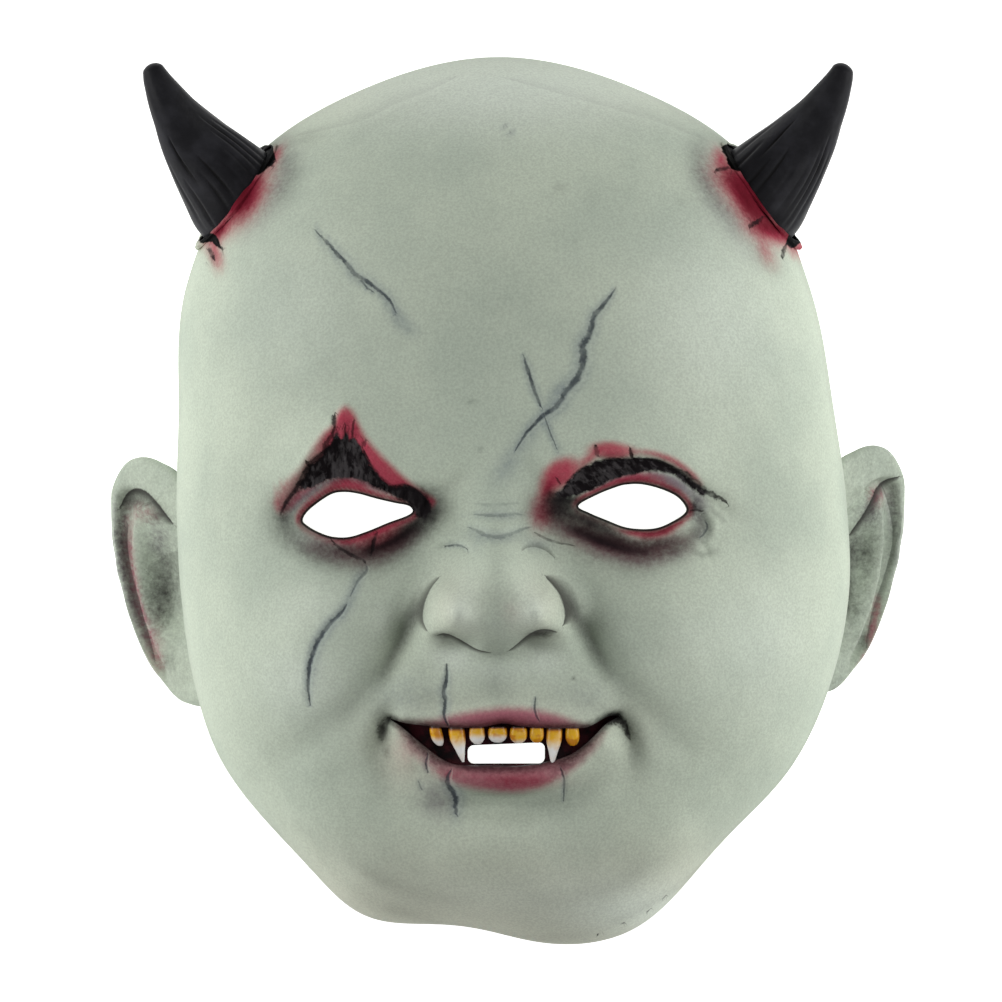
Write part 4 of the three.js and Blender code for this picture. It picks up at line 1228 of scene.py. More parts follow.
def ear_body(side):
    """An ear as rings from the hollow in front, over the rim, to the middle of its back. Height over
    the ear's plane is a sum of steps and bumps: the rolled rim, the groove, the ridge and the hollow."""
    rim = smooth_line(EAR_OUTLINE, 8, closed=True)
    fronts, backs = EAR_ROWS
    shares = np.concatenate([np.linspace(0.04, 0.995, fronts), np.linspace(1.0, 0.04, backs)])
    is_front = (np.arange(len(shares)) < fronts)[:, None]
    s = shares[:, None]
    away = rim - EAR_HOLLOW
    a = EAR_HOLLOW[0] + away[None, :, 0] * s
    b = EAR_HOLLOW[1] + away[None, :, 1] * s
    lobe = smooth_step(b, -38, -24)
    fold = from_line(a, b, smooth_line(EAR_FOLD, 4))[1]
    ridge_side = from_line(a, b, smooth_line(EAR_RIDGE, 4))[1]
    folds = (
        3.0 * smooth_step(fold, -0.9, 1.1) - 1.6 * np.exp(-(((fold + 2.6) / 2.2) ** 2))
        + 2.4 * smooth_step(-ridge_side, -0.9, 0.9) * np.exp(-((np.minimum(ridge_side, 0) / 5.5) ** 2))
        - 6.0 * np.exp(-((s / 0.42) ** 4))
    )
    edge = np.sqrt(np.clip(1 - s ** 24, 0, 1))
    front = (folds * lobe + (1 - lobe) * 1.4) * edge
    back = -11 * (1 - s ** 5)
    height = np.where(is_front, front, back) + 0.2 * ripple(a, b, 9, 4) * edge
    across = np.array((side * math.sin(EAR_FLARE), 0, -math.cos(EAR_FLARE)))
    up = np.array((side * math.sin(EAR_LEAN), math.cos(EAR_LEAN), 0))
    rings = np.array(EAR_ROOTS[side]) + a[..., None] * across + b[..., None] * up
    return ring_body(rings + height[..., None] * ear_out(side))


def ear_front(points, side):
    """1 on the front of an ear and 0 behind, by how far points stand out of the ear's own plane."""
    return smooth_step((points - np.array(EAR_ROOTS[side])) @ ear_out(side), *EAR_FRONT)


def horn_frame(side, shares):
    """Middle line, width and the two cross directions of a horn at shares of its length, the second
    of them towards the viewer."""
    line = smooth_line(HORN_LINE, 24)
    line = np.column_stack([HORN_PLANE + side * line[:, 0], line[:, 1:]])
    place = np.clip(shares, 0, 1) * (len(line) - 1)
    middle = np.column_stack([np.interp(place, np.arange(len(line)), line[:, k]) for k in range(3)])
    slope = np.gradient(line, axis=0)
    along = np.column_stack([np.interp(place, np.arange(len(line)), slope[:, k]) for k in range(3)])
    along /= np.linalg.norm(along, axis=1, keepdims=True)
    step = np.clip(shares, 0, 1) * (len(HORN_WIDTHS) - 1)
    width = np.interp(step, np.arange(len(HORN_WIDTHS)), HORN_WIDTHS)
    width = np.convolve(np.pad(width, 3, mode="edge"), np.ones(7) / 7, "valid")
    viewer = np.array((0, 0, 1.0)) - along[:, 2:] * along
    viewer /= np.linalg.norm(viewer, axis=1, keepdims=True)
    return middle, width, np.cross(along, viewer), viewer


def above_dome(points):
    """How far points lie outside the plain dome, measured level from the nose pole."""
    away, angle = from_pole(points[..., 0], points[..., 1])
    waist = waist_height(angle)
    rise = np.clip((points[..., 2] - waist) / (FACE_TOP - waist), 0, 1)
    drop = np.clip((waist - points[..., 2]) / waist, 0, 1)
    radius = outline_radius(angle) * (1 - rise ** FACE_ROUNDNESS) ** (1 / FACE_ROUNDNESS)
    return away - radius * (1 - RIM_CURL * drop * drop)


def horn_grid(side, groove):
    """A horn as rings from inside the head to its rounded tip: an oval section that narrows along a
    bent line, with shallow flutes and narrow lengthwise splits that fade towards the tip."""
    tip = HORN_TIP + TIP_LENGTH * np.sin(np.linspace(0.15, 1.5, TIP_ROWS))
    shares = np.concatenate([np.linspace(0, HORN_TIP, HORN_ROWS), tip])
    middle, width, sideways, viewer = horn_frame(side, shares)
    turn = directions(HORN_AROUND)[None, :]
    s = shares[:, None]
    fading = np.clip(1 - s, 0, 1) ** 0.7
    cut = 0.1 * groove * (np.cos(7 * turn + 3 * s) + 0.6 * np.cos(12 * turn - 4 * s + 1)) * fading
    split = np.zeros(np.broadcast(turn, s).shape)
    for direction, start, end, depth in HORN_SPLITS:
        away = wrapped(turn - direction - 0.1 * np.sin(11 * s + direction))
        run = np.clip((s - start) / (end - start), 0, 1)
        split = np.maximum(split, depth * np.exp(-((away / 0.045) ** 2)) * np.sin(np.pi * run) ** 0.7)
    cap = np.sqrt(np.clip(1 - ((s - HORN_TIP) / TIP_REACH) ** 2, 0, 1))
    reach = (width[:, None] / 2 - cut - groove * split) * np.where(s > HORN_TIP, cap, 1)
    flatness = HORN_FLATNESS + 0.12 * np.clip(1 - 2 * s, 0, 1)
    rings = (
        middle[:, None, :]
        + (reach * np.cos(turn))[..., None] * sideways[:, None, :]
        + (reach * flatness * np.sin(turn))[..., None] * viewer[:, None, :]
    )
    return rings, split


def between_rows(grid, low, f):
    """Points of a grid at a share f of the way from row low to the next, in each column."""
    columns = np.arange(grid.shape[1])
    return grid[low, columns] * (1 - f) + grid[low + 1, columns] * f


def foot_share(rings):
    """For each line along a horn, the row number at which it comes out of the head."""
    level = above_dome(rings)
    outside = level > 0
    row = np.argmax(outside, axis=0)
    row = np.maximum(row, 1)
    columns = np.arange(rings.shape[1])
    low, high = level[row - 1, columns], level[row, columns]
    return row - 1 + np.clip(-low / np.maximum(high - low, 1e-6), 0, 1)


def horn_body(side, groove):
    """A horn from its seat on the head to its tip, with each line along it started where it comes out
    of the head, and how deep in a split each point lies."""
    rings, split = horn_grid(side, groove)
    start = foot_share(rings)
    rows = len(rings)
    place = start[None, :] + (rows - 1 - start[None, :]) * np.linspace(0, 1, rows)[:, None]
    low = np.clip(np.floor(place).astype(int), 0, rows - 2)
    f = place - low
    seated = between_rows(rings, low, f[..., None])
    return ring_body(seated), np.concatenate([between_rows(split, low, f).ravel(), [0, 0]])


def horn_foot(side):
    """The closed line on which a horn comes out of the head, the horn's direction there, and the
    direction away from the horn over the skin."""
    rings, _ = horn_grid(side, 0.0)
    start = foot_share(rings)
    columns = np.arange(rings.shape[1])
    low = np.floor(start).astype(int)
    foot = between_rows(rings, low, (start - low)[:, None])
    along = rings[low + 3, columns] - rings[low, columns]
    along /= np.linalg.norm(along, axis=1, keepdims=True)
    away = np.cross(np.roll(foot, -1, 0) - np.roll(foot, 1, 0), along)
    away /= np.linalg.norm(away, axis=1, keepdims=True)
    away *= np.sign((away * (foot - foot.mean(0))).sum(1, keepdims=True))
    return foot, along, away


def collar_gap(side, turn):
    """Distance between a horn and the torn skin round it: wide slots at the ends, closed between."""
    def bump(far, middle, width):
        return far * np.exp(-((wrapped(turn - middle) / width) ** 2))

    crown, outer = (0.1, 3.02) if side < 0 else (3.05, 6.2)
    return 0.3 + bump(2.5, crown, 0.24) + bump(1.9, outer, 0.2) + 0.2 * np.sin(6 * turn + side)


def collar_shape(side, turn):
    """Height and width of the torn skin round a horn, which laps over it at one place."""
    ragged = 0.6 * np.sin(3 * turn + side) + 0.4 * np.sin(8 * turn + 2) + 0.25 * np.sin(19 * turn)
    lap, far = (1.62, 0.9) if side < 0 else (0.5, 0.3)
    height = 0.6 + 0.3 * ragged + far * np.exp(-(((turn - lap) / 0.36) ** 2))
    return height, 2.0 + 1.6 * np.abs(np.sin(turn)) + 0.6 * np.sin(5 * turn + 1.5 * side)


def collar_body(side):
    """Torn skin round a horn's foot: a closed ring whose section rises beside the horn and falls away
    over the skin, with a ragged height and width and a gap that opens at both ends of the oval."""
    foot, along, away = horn_foot(side)
    turn = directions(len(foot))
    gap = collar_gap(side, turn)
    height, width = collar_shape(side, turn)
    section = (
        (0.0, 0.0, -3.0), (0.0, 0.0, 0.0), (0.05, 0.0, 0.75), (0.4, 0.0, 1.0), (0.9, 0.05, 0.97),
        (0.8, 0.3, 0.75), (0.5, 0.5, 0.5), (0.2, 0.75, 0.25), (0.0, 1.0, -0.1), (0.0, 1.0, -1.2),
    )
    loops = []
    for fixed, share_out, share_up in section:
        out = gap + fixed + share_out * width
        loops.append(foot + away * out[:, None] + along * (share_up * height)[:, None])
    ring = np.array(loops)
    count, around = ring.shape[:2]
    points = ring.reshape(-1, 3)
    index = np.arange(count * around).reshape(count, around)
    nexts = np.roll(index, -1, 1)
    quads = np.stack([index, nexts, np.roll(nexts, -1, 0), np.roll(index, -1, 0)], -1).reshape(-1, 4)
    return points, turned_out(points, quads)


def collar_inside(points, side):
    """How far points on the torn skin round a horn lie on its inner face, next to the horn."""
    foot, along, away = horn_foot(side)
    turn = directions(len(foot))
    nearest = np.array([np.argmin(((foot - point) ** 2).sum(1)) for point in points])
    offset = points - foot[nearest]
    out = (offset * away[nearest]).sum(1) - collar_gap(side, turn)[nearest]
    up = (offset * along[nearest]).sum(1) / collar_shape(side, turn)[0][nearest]
    return smooth_step(out, 0.3, 0.02) * smooth_step(up, 0.9, 0.6)


def tooth_body(middle, width, length, lean):
    """A tooth as rings down its length: a rounded oblong that narrows to its edge, or to a point in a
    fang, and stands a little proud of the gum."""
    share = np.linspace(0, 1, TOOTH_ROWS)[:, None]
    turn = directions(TOOTH_AROUND)[None, :]
    if length > FANG_LENGTH:
        fullness = 0.94 + 0.16 * np.sin(np.pi * np.minimum(share * 1.5, 1))
        reach = (width / 2) * (1 - 0.84 * share ** 1.9) * fullness
    else:
        rounding = np.sqrt(np.clip(1 - (share * 0.965) ** 5, 0, 1))
        reach = (width / 2) * (0.84 + 0.18 * np.sin(np.pi * share)) * rounding
    depth = TOOTH_DEPTH * (1 - 0.5 * share ** 3)
    square = 0.75
    x = middle + lean * share ** 1.5 + reach * np.sign(np.cos(turn)) * np.abs(np.cos(turn)) ** square
    y = TOOTH_TOP - share * length + 0 * turn
    front = front_height(np.array(middle), np.array(TOOTH_TOP - 2.0)) - TOOTH_SET_BACK
    z = front + depth * np.sign(np.sin(turn)) * np.abs(np.sin(turn)) ** square
    return ring_body(np.stack([x, y, z + 0 * share], -1))


def mouth_slab(margin, low, high):
    """A body over the open mouth, between two heights that follow the face, grown by a margin."""
    columns = np.linspace(0, 1, MOUTH_COLUMNS)[None, :]
    rows = np.linspace(0, 1, MOUTH_ROWS)[:, None]
    ends = (UPPER_LIP_EDGE[0][0] - margin, UPPER_LIP_EDGE[-1][0] + margin)
    x = ends[0] + (ends[1] - ends[0]) * (0.5 - 0.5 * np.cos(np.pi * columns)) + 0 * rows
    upper = np.interp(x, UPPER_LIP_LINE[:, 0], UPPER_LIP_LINE[:, 1]) + margin
    lower = np.interp(x, LOWER_LIP_LINE[:, 0], LOWER_LIP_LINE[:, 1]) - margin
    y = lower + (upper - lower) * rows
    return slab_body(np.stack([x, y, low(x, y)], -1), np.stack([x, y, high(x, y)], -1))


def gum_height(x, y):
    """The gum: the dome's own height behind the lips, bulging a little over the roots."""
    return front_height(x, y, inside=True) - GUM_BEHIND + 0.8 * swell(x, y, (1, -74), 40, 3.5)


def mouth_hole_line():
    """A rounded oblong, its upper edge rising a little to the right."""
    (mx, my), (width, height), corner = MOUTH_HOLE["middle"], MOUTH_HOLE["size"], MOUTH_HOLE["corner"]
    line = []
    for quarter, (sx, sy) in enumerate(((1, 1), (-1, 1), (-1, -1), (1, -1))):
        for turn in np.linspace(0, math.pi / 2, 6) + quarter * math.pi / 2:
            x = mx + sx * (width / 2 - corner) + corner * math.cos(turn)
            y = my + sy * (height / 2 - corner) + corner * math.sin(turn)
            lean = MOUTH_HOLE["rise"] * (x - mx) / width if sy > 0 else 0
            line.append((x, y + lean))
    return line


def arch_body():
    """The neck opening: half an ellipse in the plane of the rim, run through the lower wall, its edge
    a little uneven as cut with scissors."""
    turn = np.linspace(0, 2 * np.pi, ARCH_AROUND, endpoint=False)
    rings = []
    for y in np.linspace(*NECK_ARCH["run"], ARCH_ROWS):
        uneven = 1 + 0.012 * np.sin(9 * turn + 0.3) + 0.008 * np.sin(21 * turn + 1)
        x = NECK_ARCH["middle"] + NECK_ARCH["half_width"] * np.cos(turn) * uneven
        z = NECK_ARCH["height"] * np.sin(turn) * uneven
        rings.append(np.column_stack([x, np.full(len(turn), y), z]))
    return ring_body(np.array(rings))


def in_front(points):
    """1 on the face and 0 on the wall behind its widest line, and the direction from the nose pole."""
    _, angle = from_pole(points[:, 0], points[:, 1])
    return smooth_step(points[:, 2] - waist_height(angle), -FACE_FADE, 0), angle


def paint_head(points):
    """Coverage of each coat of paint at points on the head, from airbrush strokes along lines. Some coats
    are painted light and painted shade: paler skin where the relief is shaded, and darkening in folds,
    creases and along the outline.
    """
    x, y, z = points.T
    eye = eye_gap(x, y)
    mouth = from_line(x, y, MOUTH_LINE, True)[0]
    front, angle = in_front(points)
    out = from_pole(x, y)[0] / (outline_radius(angle) + NECK_FILL * neck_flare(angle))
    line, puff = airbrush(x, y)
    lid = np.exp(-(((eye - 1.4) / 0.9) ** 2))
    lid_left = (x < 0) * (1 - 0.75 * smooth_step(x, -50, -56) * smooth_step(y, -5, -9))
    lid_right = (x > 0) * (1 - 0.85 * smooth_step(x, 44, 34) * smooth_step(y, 1, -3))
    lip_middle = 0.5 + 0.5 * np.exp(-(((x - 2) / 25) ** 4))
    return {
        "warm": front * layered(
            0.5 * smooth_step(-y, 96, 140), puff(0.3, (-15, -34), 9, 12), puff(0.3, (12, -34), 9, 12),
            puff(0.55, (-32, -84), 7, 9), puff(0.3, (0, -74), 40, 12), 0.2 * smooth_step(y, 118, 140),
        ),
        # Painted light: paler skin under the nose, on its front and on the cheeks, where the relief is
        # shaded, and on the sides of the forehead, the crown and the neck
        "painted_light": front * layered(
            puff(0.5, (68, 58), 26, 30), puff(0.25, (-66, 62), 24, 26), puff(0.9, (4, 138), 54, 16),
            puff(0.8, (44, -134), 26, 10), puff(0.75, (-15, -50), 7, 5), puff(0.5, (14, -51), 7, 5),
            puff(0.5, (-64, -58), 14, 12), puff(0.2, (62, -46), 14, 14), puff(0.3, (-37, -38), 5, 6),
            puff(0.45, (-10.6, -35), 4.6, 9), puff(0.45, (7.4, -35), 4.6, 9),
            puff(0.5, (-13.3, -34.8), 2.2, 4), puff(0.5, (10.7, -35), 2.2, 4),
            puff(0.35, (-1, -54.4), 11, 4), puff(0.35, (86, -44), 18, 24), puff(0.3, (-60, -34), 14, 8),
            puff(0.25, (0, -128), 30, 8),
        ),
        # Blue-grey round the cracks, and soft blue-grey painted shade on the folds of the bridge, the
        # middle of the nose, the philtrum and the inner cheeks
        "halo_and_painted_shade": front * layered(
            line(0.5, 2.4, (-37, 66), (-33, 59), (-28.5, 54.5)),
            line(0.35, 3.0, (20, 31), (8.5, 20.5), (1, 9)), line(0.28, 3.0, (4, 15), (-2, 6)),
            line(0.4, 2.4, (20, 38), (15, 31)), line(0.35, 1.6, (13.3, 29), (18.7, 15)),
            line(0.5, 2.0, (-45.6, -23), (-48, -30), (-51, -37)),
            line(0.4, 2.4, (-50, -34), (-59, -46), (-62, -60)),
            line(0.35, 2.4, (-16, -86), (-14, -96), (-14.5, -104)), puff(0.3, (-1, -11.4), 9, 1.8),
            puff(0.3, (-1.5, -4.6), 9, 1.3), puff(0.35, (12, -14), 4.4, 1.8), puff(0.2, (-8, -12), 3, 4),
            puff(0.25, (-30, -62), 12, 7), puff(0.2, (28, -62), 12, 7), puff(0.12, (-1, -37), 4.6, 13),
            puff(0.12, (-1, -60), 5.4, 8),
        ),
        "violet": front * layered(
            puff(0.5, (-21, -96.5), 5.4, 6.4, 20), line(0.4, 3, (-66, -12.6), (-56, -15.6), (-46, -16.6)),
            line(0.85, 2.4, (-69.4, -3), (-66, 0.6), (-61, 3.6)),
            line(0.85, 1.9, (-64, 1.6), (-58, 5.4), (-50, 7), (-42, 5.4), (-35, 2.6)),
            line(0.8, 2.2, (50, 8.4), (57, 6), (63, 1)), puff(0.65, (64, -1.4), 3, 4),
            line(0.8, 1.7, (28, 3), (37, 6.8), (45, 8), (52, 7), (60, 2.6)),
            line(0.4, 2, (63.4, -5), (64.6, -9), (62, -13)),
            line(0.3, 2.4, (30, -16), (46, -19), (60, -16.4)),
            line(0.3, 5, (-74, 121), (-72, 112), (-76, 101), (-84, 90)),
            line(0.35, 5, (67, 117), (68, 106), (74, 95), (84, 82)),
        ),
        "smoke_and_painted_shade": front * layered(
            # Round the eyes
            line(0.62, 5, (-70, -8), (-60, -14.3), (-46, -19), (-36, -17), (-28, -10), (-22, -2)),
            line(0.35, 3.4, (-71, -11), (-62, -16.6), (-51, -19.4)),
            line(1, 3.8, (-50, -15.2), (-41, -15.4), (-34, -13), (-27, -8.4), (-23, -3)),
            puff(0.7, (-23, -3), 4, 5), line(0.5, 2.4, (-69, -8), (-67.4, -2), (-63.4, 2.6)),
            puff(0.35, (-20, -2), 5, 6), line(0.5, 2.0, (-64, 1), (-58, 5), (-50, 7), (-40, 4.6)),
            line(1, 3.9, (14, -3), (18, -7.4), (25.5, -10.4), (32, -13.2), (40, -15.4), (48, -16.2),
                 (56, -14.6)),
            line(0.55, 2.8, (52, -14.4), (59, -12.6), (65, -9)),
            line(0.8, 3.0, (22, -4), (30, -7.6), (38, -11)),
            line(0.3, 6, (16, -12), (30, -17), (46, -19), (62, -14)), puff(0.9, (19.6, -1.4), 7, 4.4),
            puff(0.35, (12, -3), 5, 6), line(0.35, 3, (-69, -9), (-72, -2), (-68, 5)),
            line(0.4, 2.0, (62, -1), (65, -4), (65.5, -9)), line(0.22, 3, (66, 4), (72, 0.5), (77, -4)),
            line(0.35, 1, (64, -6), (68, -9.4), (66, -13.4)), line(0.3, 0.9, (68, -2.6), (72.4, -6.4)),
            line(0.3, 1, (60, -14), (65, -17.4), (70, -16)),
            line(0.2, 3.6, (-76, 4), (-75, -4), (-72, -12)),
            # Faint painted shade in the frown and beside the bridge of the nose
            line(0.12, 2.2, (-22, 2), (-17, 5), (-12, 9)), line(0.12, 2.4, (9, 13), (12.6, 8), (13, 2)),
            # Painted shade round the nose, under its tip and in the folds past the mouth, and dark paint
            # with painted shade at the mouth's corners
            line(0.62, 2.4, (-25.6, -31), (-27.6, -36.5), (-30, -41)),
            line(0.13, 4, (-28, -30), (-31, -38), (-35, -47)),
            line(0.7, 2.4, (21.4, -31), (23.4, -36), (26, -41)),
            line(0.2, 3.6, (22.6, -29), (26, -37), (30, -44)), puff(0.5, (12.6, -42.8), 4.4, 2),
            puff(0.5, (-18, -43.8), 3.4, 1.8), puff(0.16, (10, -47), 7, 3.4),
            line(0.42, 2.8, (-29, -39), (-34, -48), (-38, -57)),
            line(0.16, 4, (-37, -54), (-44, -64), (-52, -71)),
            line(0.42, 2.8, (25, -39), (30, -48), (34, -56)),
            line(0.16, 4, (33, -54), (41, -63), (50, -71)), puff(0.55, (-38, -74.4), 2.2, 5),
            puff(0.22, (-39.6, -86), 4, 7), puff(0.35, (-37, -81), 1.6, 3),
            line(0.4, 2.6, (34, -69), (39, -70), (43, -75), (42.6, -82)), puff(0.22, (44, -84), 3.6, 8),
            line(0.18, 4, (-24, -97), (-8, -101), (6, -101.5), (22, -97), (34, -88)),
            puff(0.16, (-24, -64), 4, 4), puff(0.13, (-1, -59), 5.4, 9),
            # Painted shade in the neck folds and along the hem, and a faint painted shade along the
            # outline, where the dome turns away
            line(0.1, 2.6, (-66, -107), (-48, -119), (-30, -127), (-12, -131)),
            line(0.14, 2.2, (-36, -134), (-14, -141), (10, -144), (28, -143)),
            line(0.16, 2, (38, -138), (54, -130), (68, -121.6)),
            line(0.1, 3, (12, -130), (36, -126), (60, -112)), 0.12 * smooth_step(out, 0.97, 1.0),
            # Smudges inside the horns, a faint painted shade over the middle of the forehead, and specks
            line(0.3, 4.4, (-77, 121), (-71, 114), (-71, 106), (-78, 98)),
            line(0.2, 3, (-70, 121.4), (-60, 122)),
            line(0.34, 3.6, (66, 119.5), (66, 111), (70, 102), (78, 92)),
            line(0.2, 3, (84, 88), (88, 80), (92, 76)), puff(0.08, (0, 60), 46, 34),
            puff(0.4, (19.3, 102.6), 1, 1), puff(0.4, (60, 99), 1, 1), puff(0.3, (-9.6, 32), 1.6, 0.8),
            puff(0.3, (-6.6, 16.6), 1, 0.8), puff(0.2, (24.7, 85.7), 1.4, 1),
        ),
        "lip": front * layered(
            0.95 * patch(x, y, UPPER_LIP, 1.8) * lip_middle, 0.9 * patch(x, y, LOWER_LIP, 2.0) * lip_middle,
            line(0.35, 1.8, (-61, 0), (-50, 5), (-38, 2)), line(0.3, 1.8, (32, 5), (44, 8.4), (56, 5)),
            puff(0.25, (-30, -80), 4, 5), puff(0.3, (2, -70), 12, 3), puff(0.12, (3, -35), 3, 3),
            puff(0.3, (12, -5), 3, 5), line(0.35, 1.5, (-63, -8.6), (-56, -12), (-49, -13)),
            line(0.2, 4, (-60, -14), (-44, -17), (-30, -11)),
            line(0.3, 4.4, (16, -6), (30, -13), (46, -16), (58, -13)),
        ),
        "red": front * layered(
            0.8 * lid * (lid_left + lid_right),
            0.94 * patch(x, y, LEFT_WOUND_RED, 1.5) * (0.55 + 0.45 * smooth_step(x, -64, -54)),
            line(0.9, 1.5, (-56, 4), (-50, 5.6), (-44, 4.4)), line(0.4, 1.2, (-64, -4), (-59, 1.6)),
            line(0.9, 1.7, (-46, -11.4), (-40, -10), (-33, -6.8)),
            line(0.55, 2.6, (-48, -13.4), (-42, -13.6), (-35, -10.6)),
            0.9 * swell(x, y, (35.6, 16.2), 7.4, 3, 3, -4, 2.5),
            0.92 * swell(x, y, (19.4, 8.8), 7, 4.8, 4.8, 30, 2.5),
            line(0.95, 2.4, (17, 7), (15, 4), (13.6, 0.6)), puff(0.45, (13, -4), 3, 4.4),
            line(0.8, 1.1, (42, 16), (49.6, 15.1), (56.1, 12.6), (61.5, 8.8), (64.4, 5.6)),
            line(0.8, 1.7, (25.6, 11.2), (28.6, 14), (31, 16)),
            line(0.85, 1.2, (42, -10.4), (47, -11.2), (53, -10.2), (58, -7)),
            line(0.7, 1.5, (36, 6), (44, 8), (52, 6.6)), puff(0.5, (5, -90.2), 12, 2.6),
            puff(0.25, (-16, -88), 6, 2.4), puff(0.3, (2, -71.4), 7, 1.6),
            line(1.15, 5.0, (-80.6, 110), (-84.6, 104.6), (-89, 99.4), (-91.6, 95)),
            line(1, 3.4, (-91, 94), (-94, 90.4), (-98, 87.8)), puff(1, (-84.6, 100.8), 5.2, 8.4, -30),
            line(0.85, 2.2, (-97, 87), (-95.4, 82.6), (-93.6, 78)), puff(0.85, (-75.6, 115.6), 1.9, 4, -24),
            line(1.15, 5.2, (75.4, 112), (81, 105.6), (86, 98.8), (89, 93)),
            line(1.1, 4.0, (84, 91.6), (91, 90), (99, 87.6)),
            line(1, 4.6, (74, 109), (78, 104), (82, 98.4), (84.4, 94)),
            line(0.5, 2.8, (86, 87), (88.4, 82), (90, 79)), puff(0.85, (73.6, 114.6), 2, 4, 10),
            line(0.7, 1, (98.6, 88), (97.8, 82.6)), puff(0.8, (101.4, 85.6), 2.4, 3),
        ),
        "crimson": front * layered(
            line(1, 3.2, (-82.4, 108), (-86.4, 103), (-90, 97.4)),
            line(0.9, 2.0, (-92.4, 93), (-94.4, 90), (-97.6, 87.8)),
            puff(0.9, (-85.4, 100.6), 3.4, 6.8, -30), line(0.5, 0.9, (-99, 86), (-96.6, 82.6), (-95, 80)),
            line(1, 3.6, (79.4, 109.6), (84.2, 103.8), (88, 97.6), (91, 92.6)),
            line(1, 3.8, (75.6, 109), (80, 103), (83.4, 97.6), (86.6, 92.6)),
            line(0.95, 2.4, (86, 92), (92, 91), (98.4, 88.6)), puff(0.6, (15.4, 3.4), 2.2, 3.4),
            puff(0.5, (14, -4.6), 2.6, 3), line(0.6, 1.4, (-44, -12.6), (-38, -11.4), (-31, -7.6)),
            line(0.5, 1, (-49.6, 20), (-49.4, 24)), line(0.5, 1, (-47.4, 19), (-46.6, 24)),
            line(0.4, 1.2, (-57, 5), (-50, 6.8), (-43, 5.4)), line(0.4, 1, (60, 9), (64, 5.6)),
            puff(0.3, (4, -90), 10, 2), line(0.4, 1, (46, -11.8), (56, -9)),
            0.55 * np.exp(-(((eye - 0.8) / 0.7) ** 2)) * (lid_left + lid_right),
        ),
        "black": front * layered(
            line(0.62, 3.0, (-58, -14.6), (-49, -16.2), (-42, -16.4), (-35, -13.6), (-28, -9), (-23.6, -4)),
            line(0.66, 3.4, (15, -2.6), (22, -7), (29, -10.8), (36, -13.4), (46, -15.6), (56, -14.4)),
            line(0.7, 2.2, (24, -3.6), (30, -7.2), (37, -10)), puff(0.75, (13.2, -42.4), 3.6, 1.1),
            puff(0.45, (-18.4, -43), 2.6, 1.0),
            puff(1.0, (-27.4, 1), 4.6, 3.6), puff(0.9, (-25, -2.6), 2.8, 3.6),
            puff(0.85, (-31.6, 2.8), 3.4, 1.6),
            line(0.85, 1.6, (-44, -16), (-38, -14.4), (-32, -11.2), (-27.4, -7)),
            puff(0.7, (-42, -15.4), 2.4, 2.6), line(0.95, 2.0, (14.6, 0), (19.6, 0.4), (26, 0.2)),
            puff(0.75, (19, -3), 5, 3.4), puff(0.7, (15.6, 2.4), 2, 2),
            line(0.8, 1.5, (22, -8.8), (27, -11), (33, -13.4), (40, -15.6), (47, -16.4)),
            puff(0.3, (50, -13), 6, 2), 0.75 * np.exp(-((mouth / 1.3) ** 2)),
            line(0.6, 2.2, (17, -86), (24, -82), (31, -74.6)),
            line(0.55, 1.8, (-31, -75.6), (-25, -80.6), (-18, -85.6)),
            line(0.4, 1.5, (-15, -86), (0, -86.8), (14, -86)), puff(0.6, (23.3, -57), 0.6, 0.6),
            puff(0.6, (-38.2, -73.2), 1.5, 2.8), line(0.6, 1.3, (36, -70), (39.6, -71.6), (41.8, -75.4)),
            line(0.8, 1.3, (-71.8, -7), (-69.4, -0.6), (-65.6, 5.2), (-62.8, 10.4)),
            puff(0.8, (62.6, -2), 1.8, 3.4),
        ),
        "torn_left": depth_in(x, y, LEFT_WOUND_DARK),
        "torn_right": depth_in(x, y, RIGHT_BROW_DARK),
        # Painted shadow in the slots at the ends of the horns' feet
        "slot_shadow": np.minimum(
            np.max([depth_in(x, y, slot_shadow) for slot_shadow in SLOT_SHADOWS], axis=0),
            (z - waist_height(angle) - SLOT_START) / SLOT_FADE,
        ),
    }


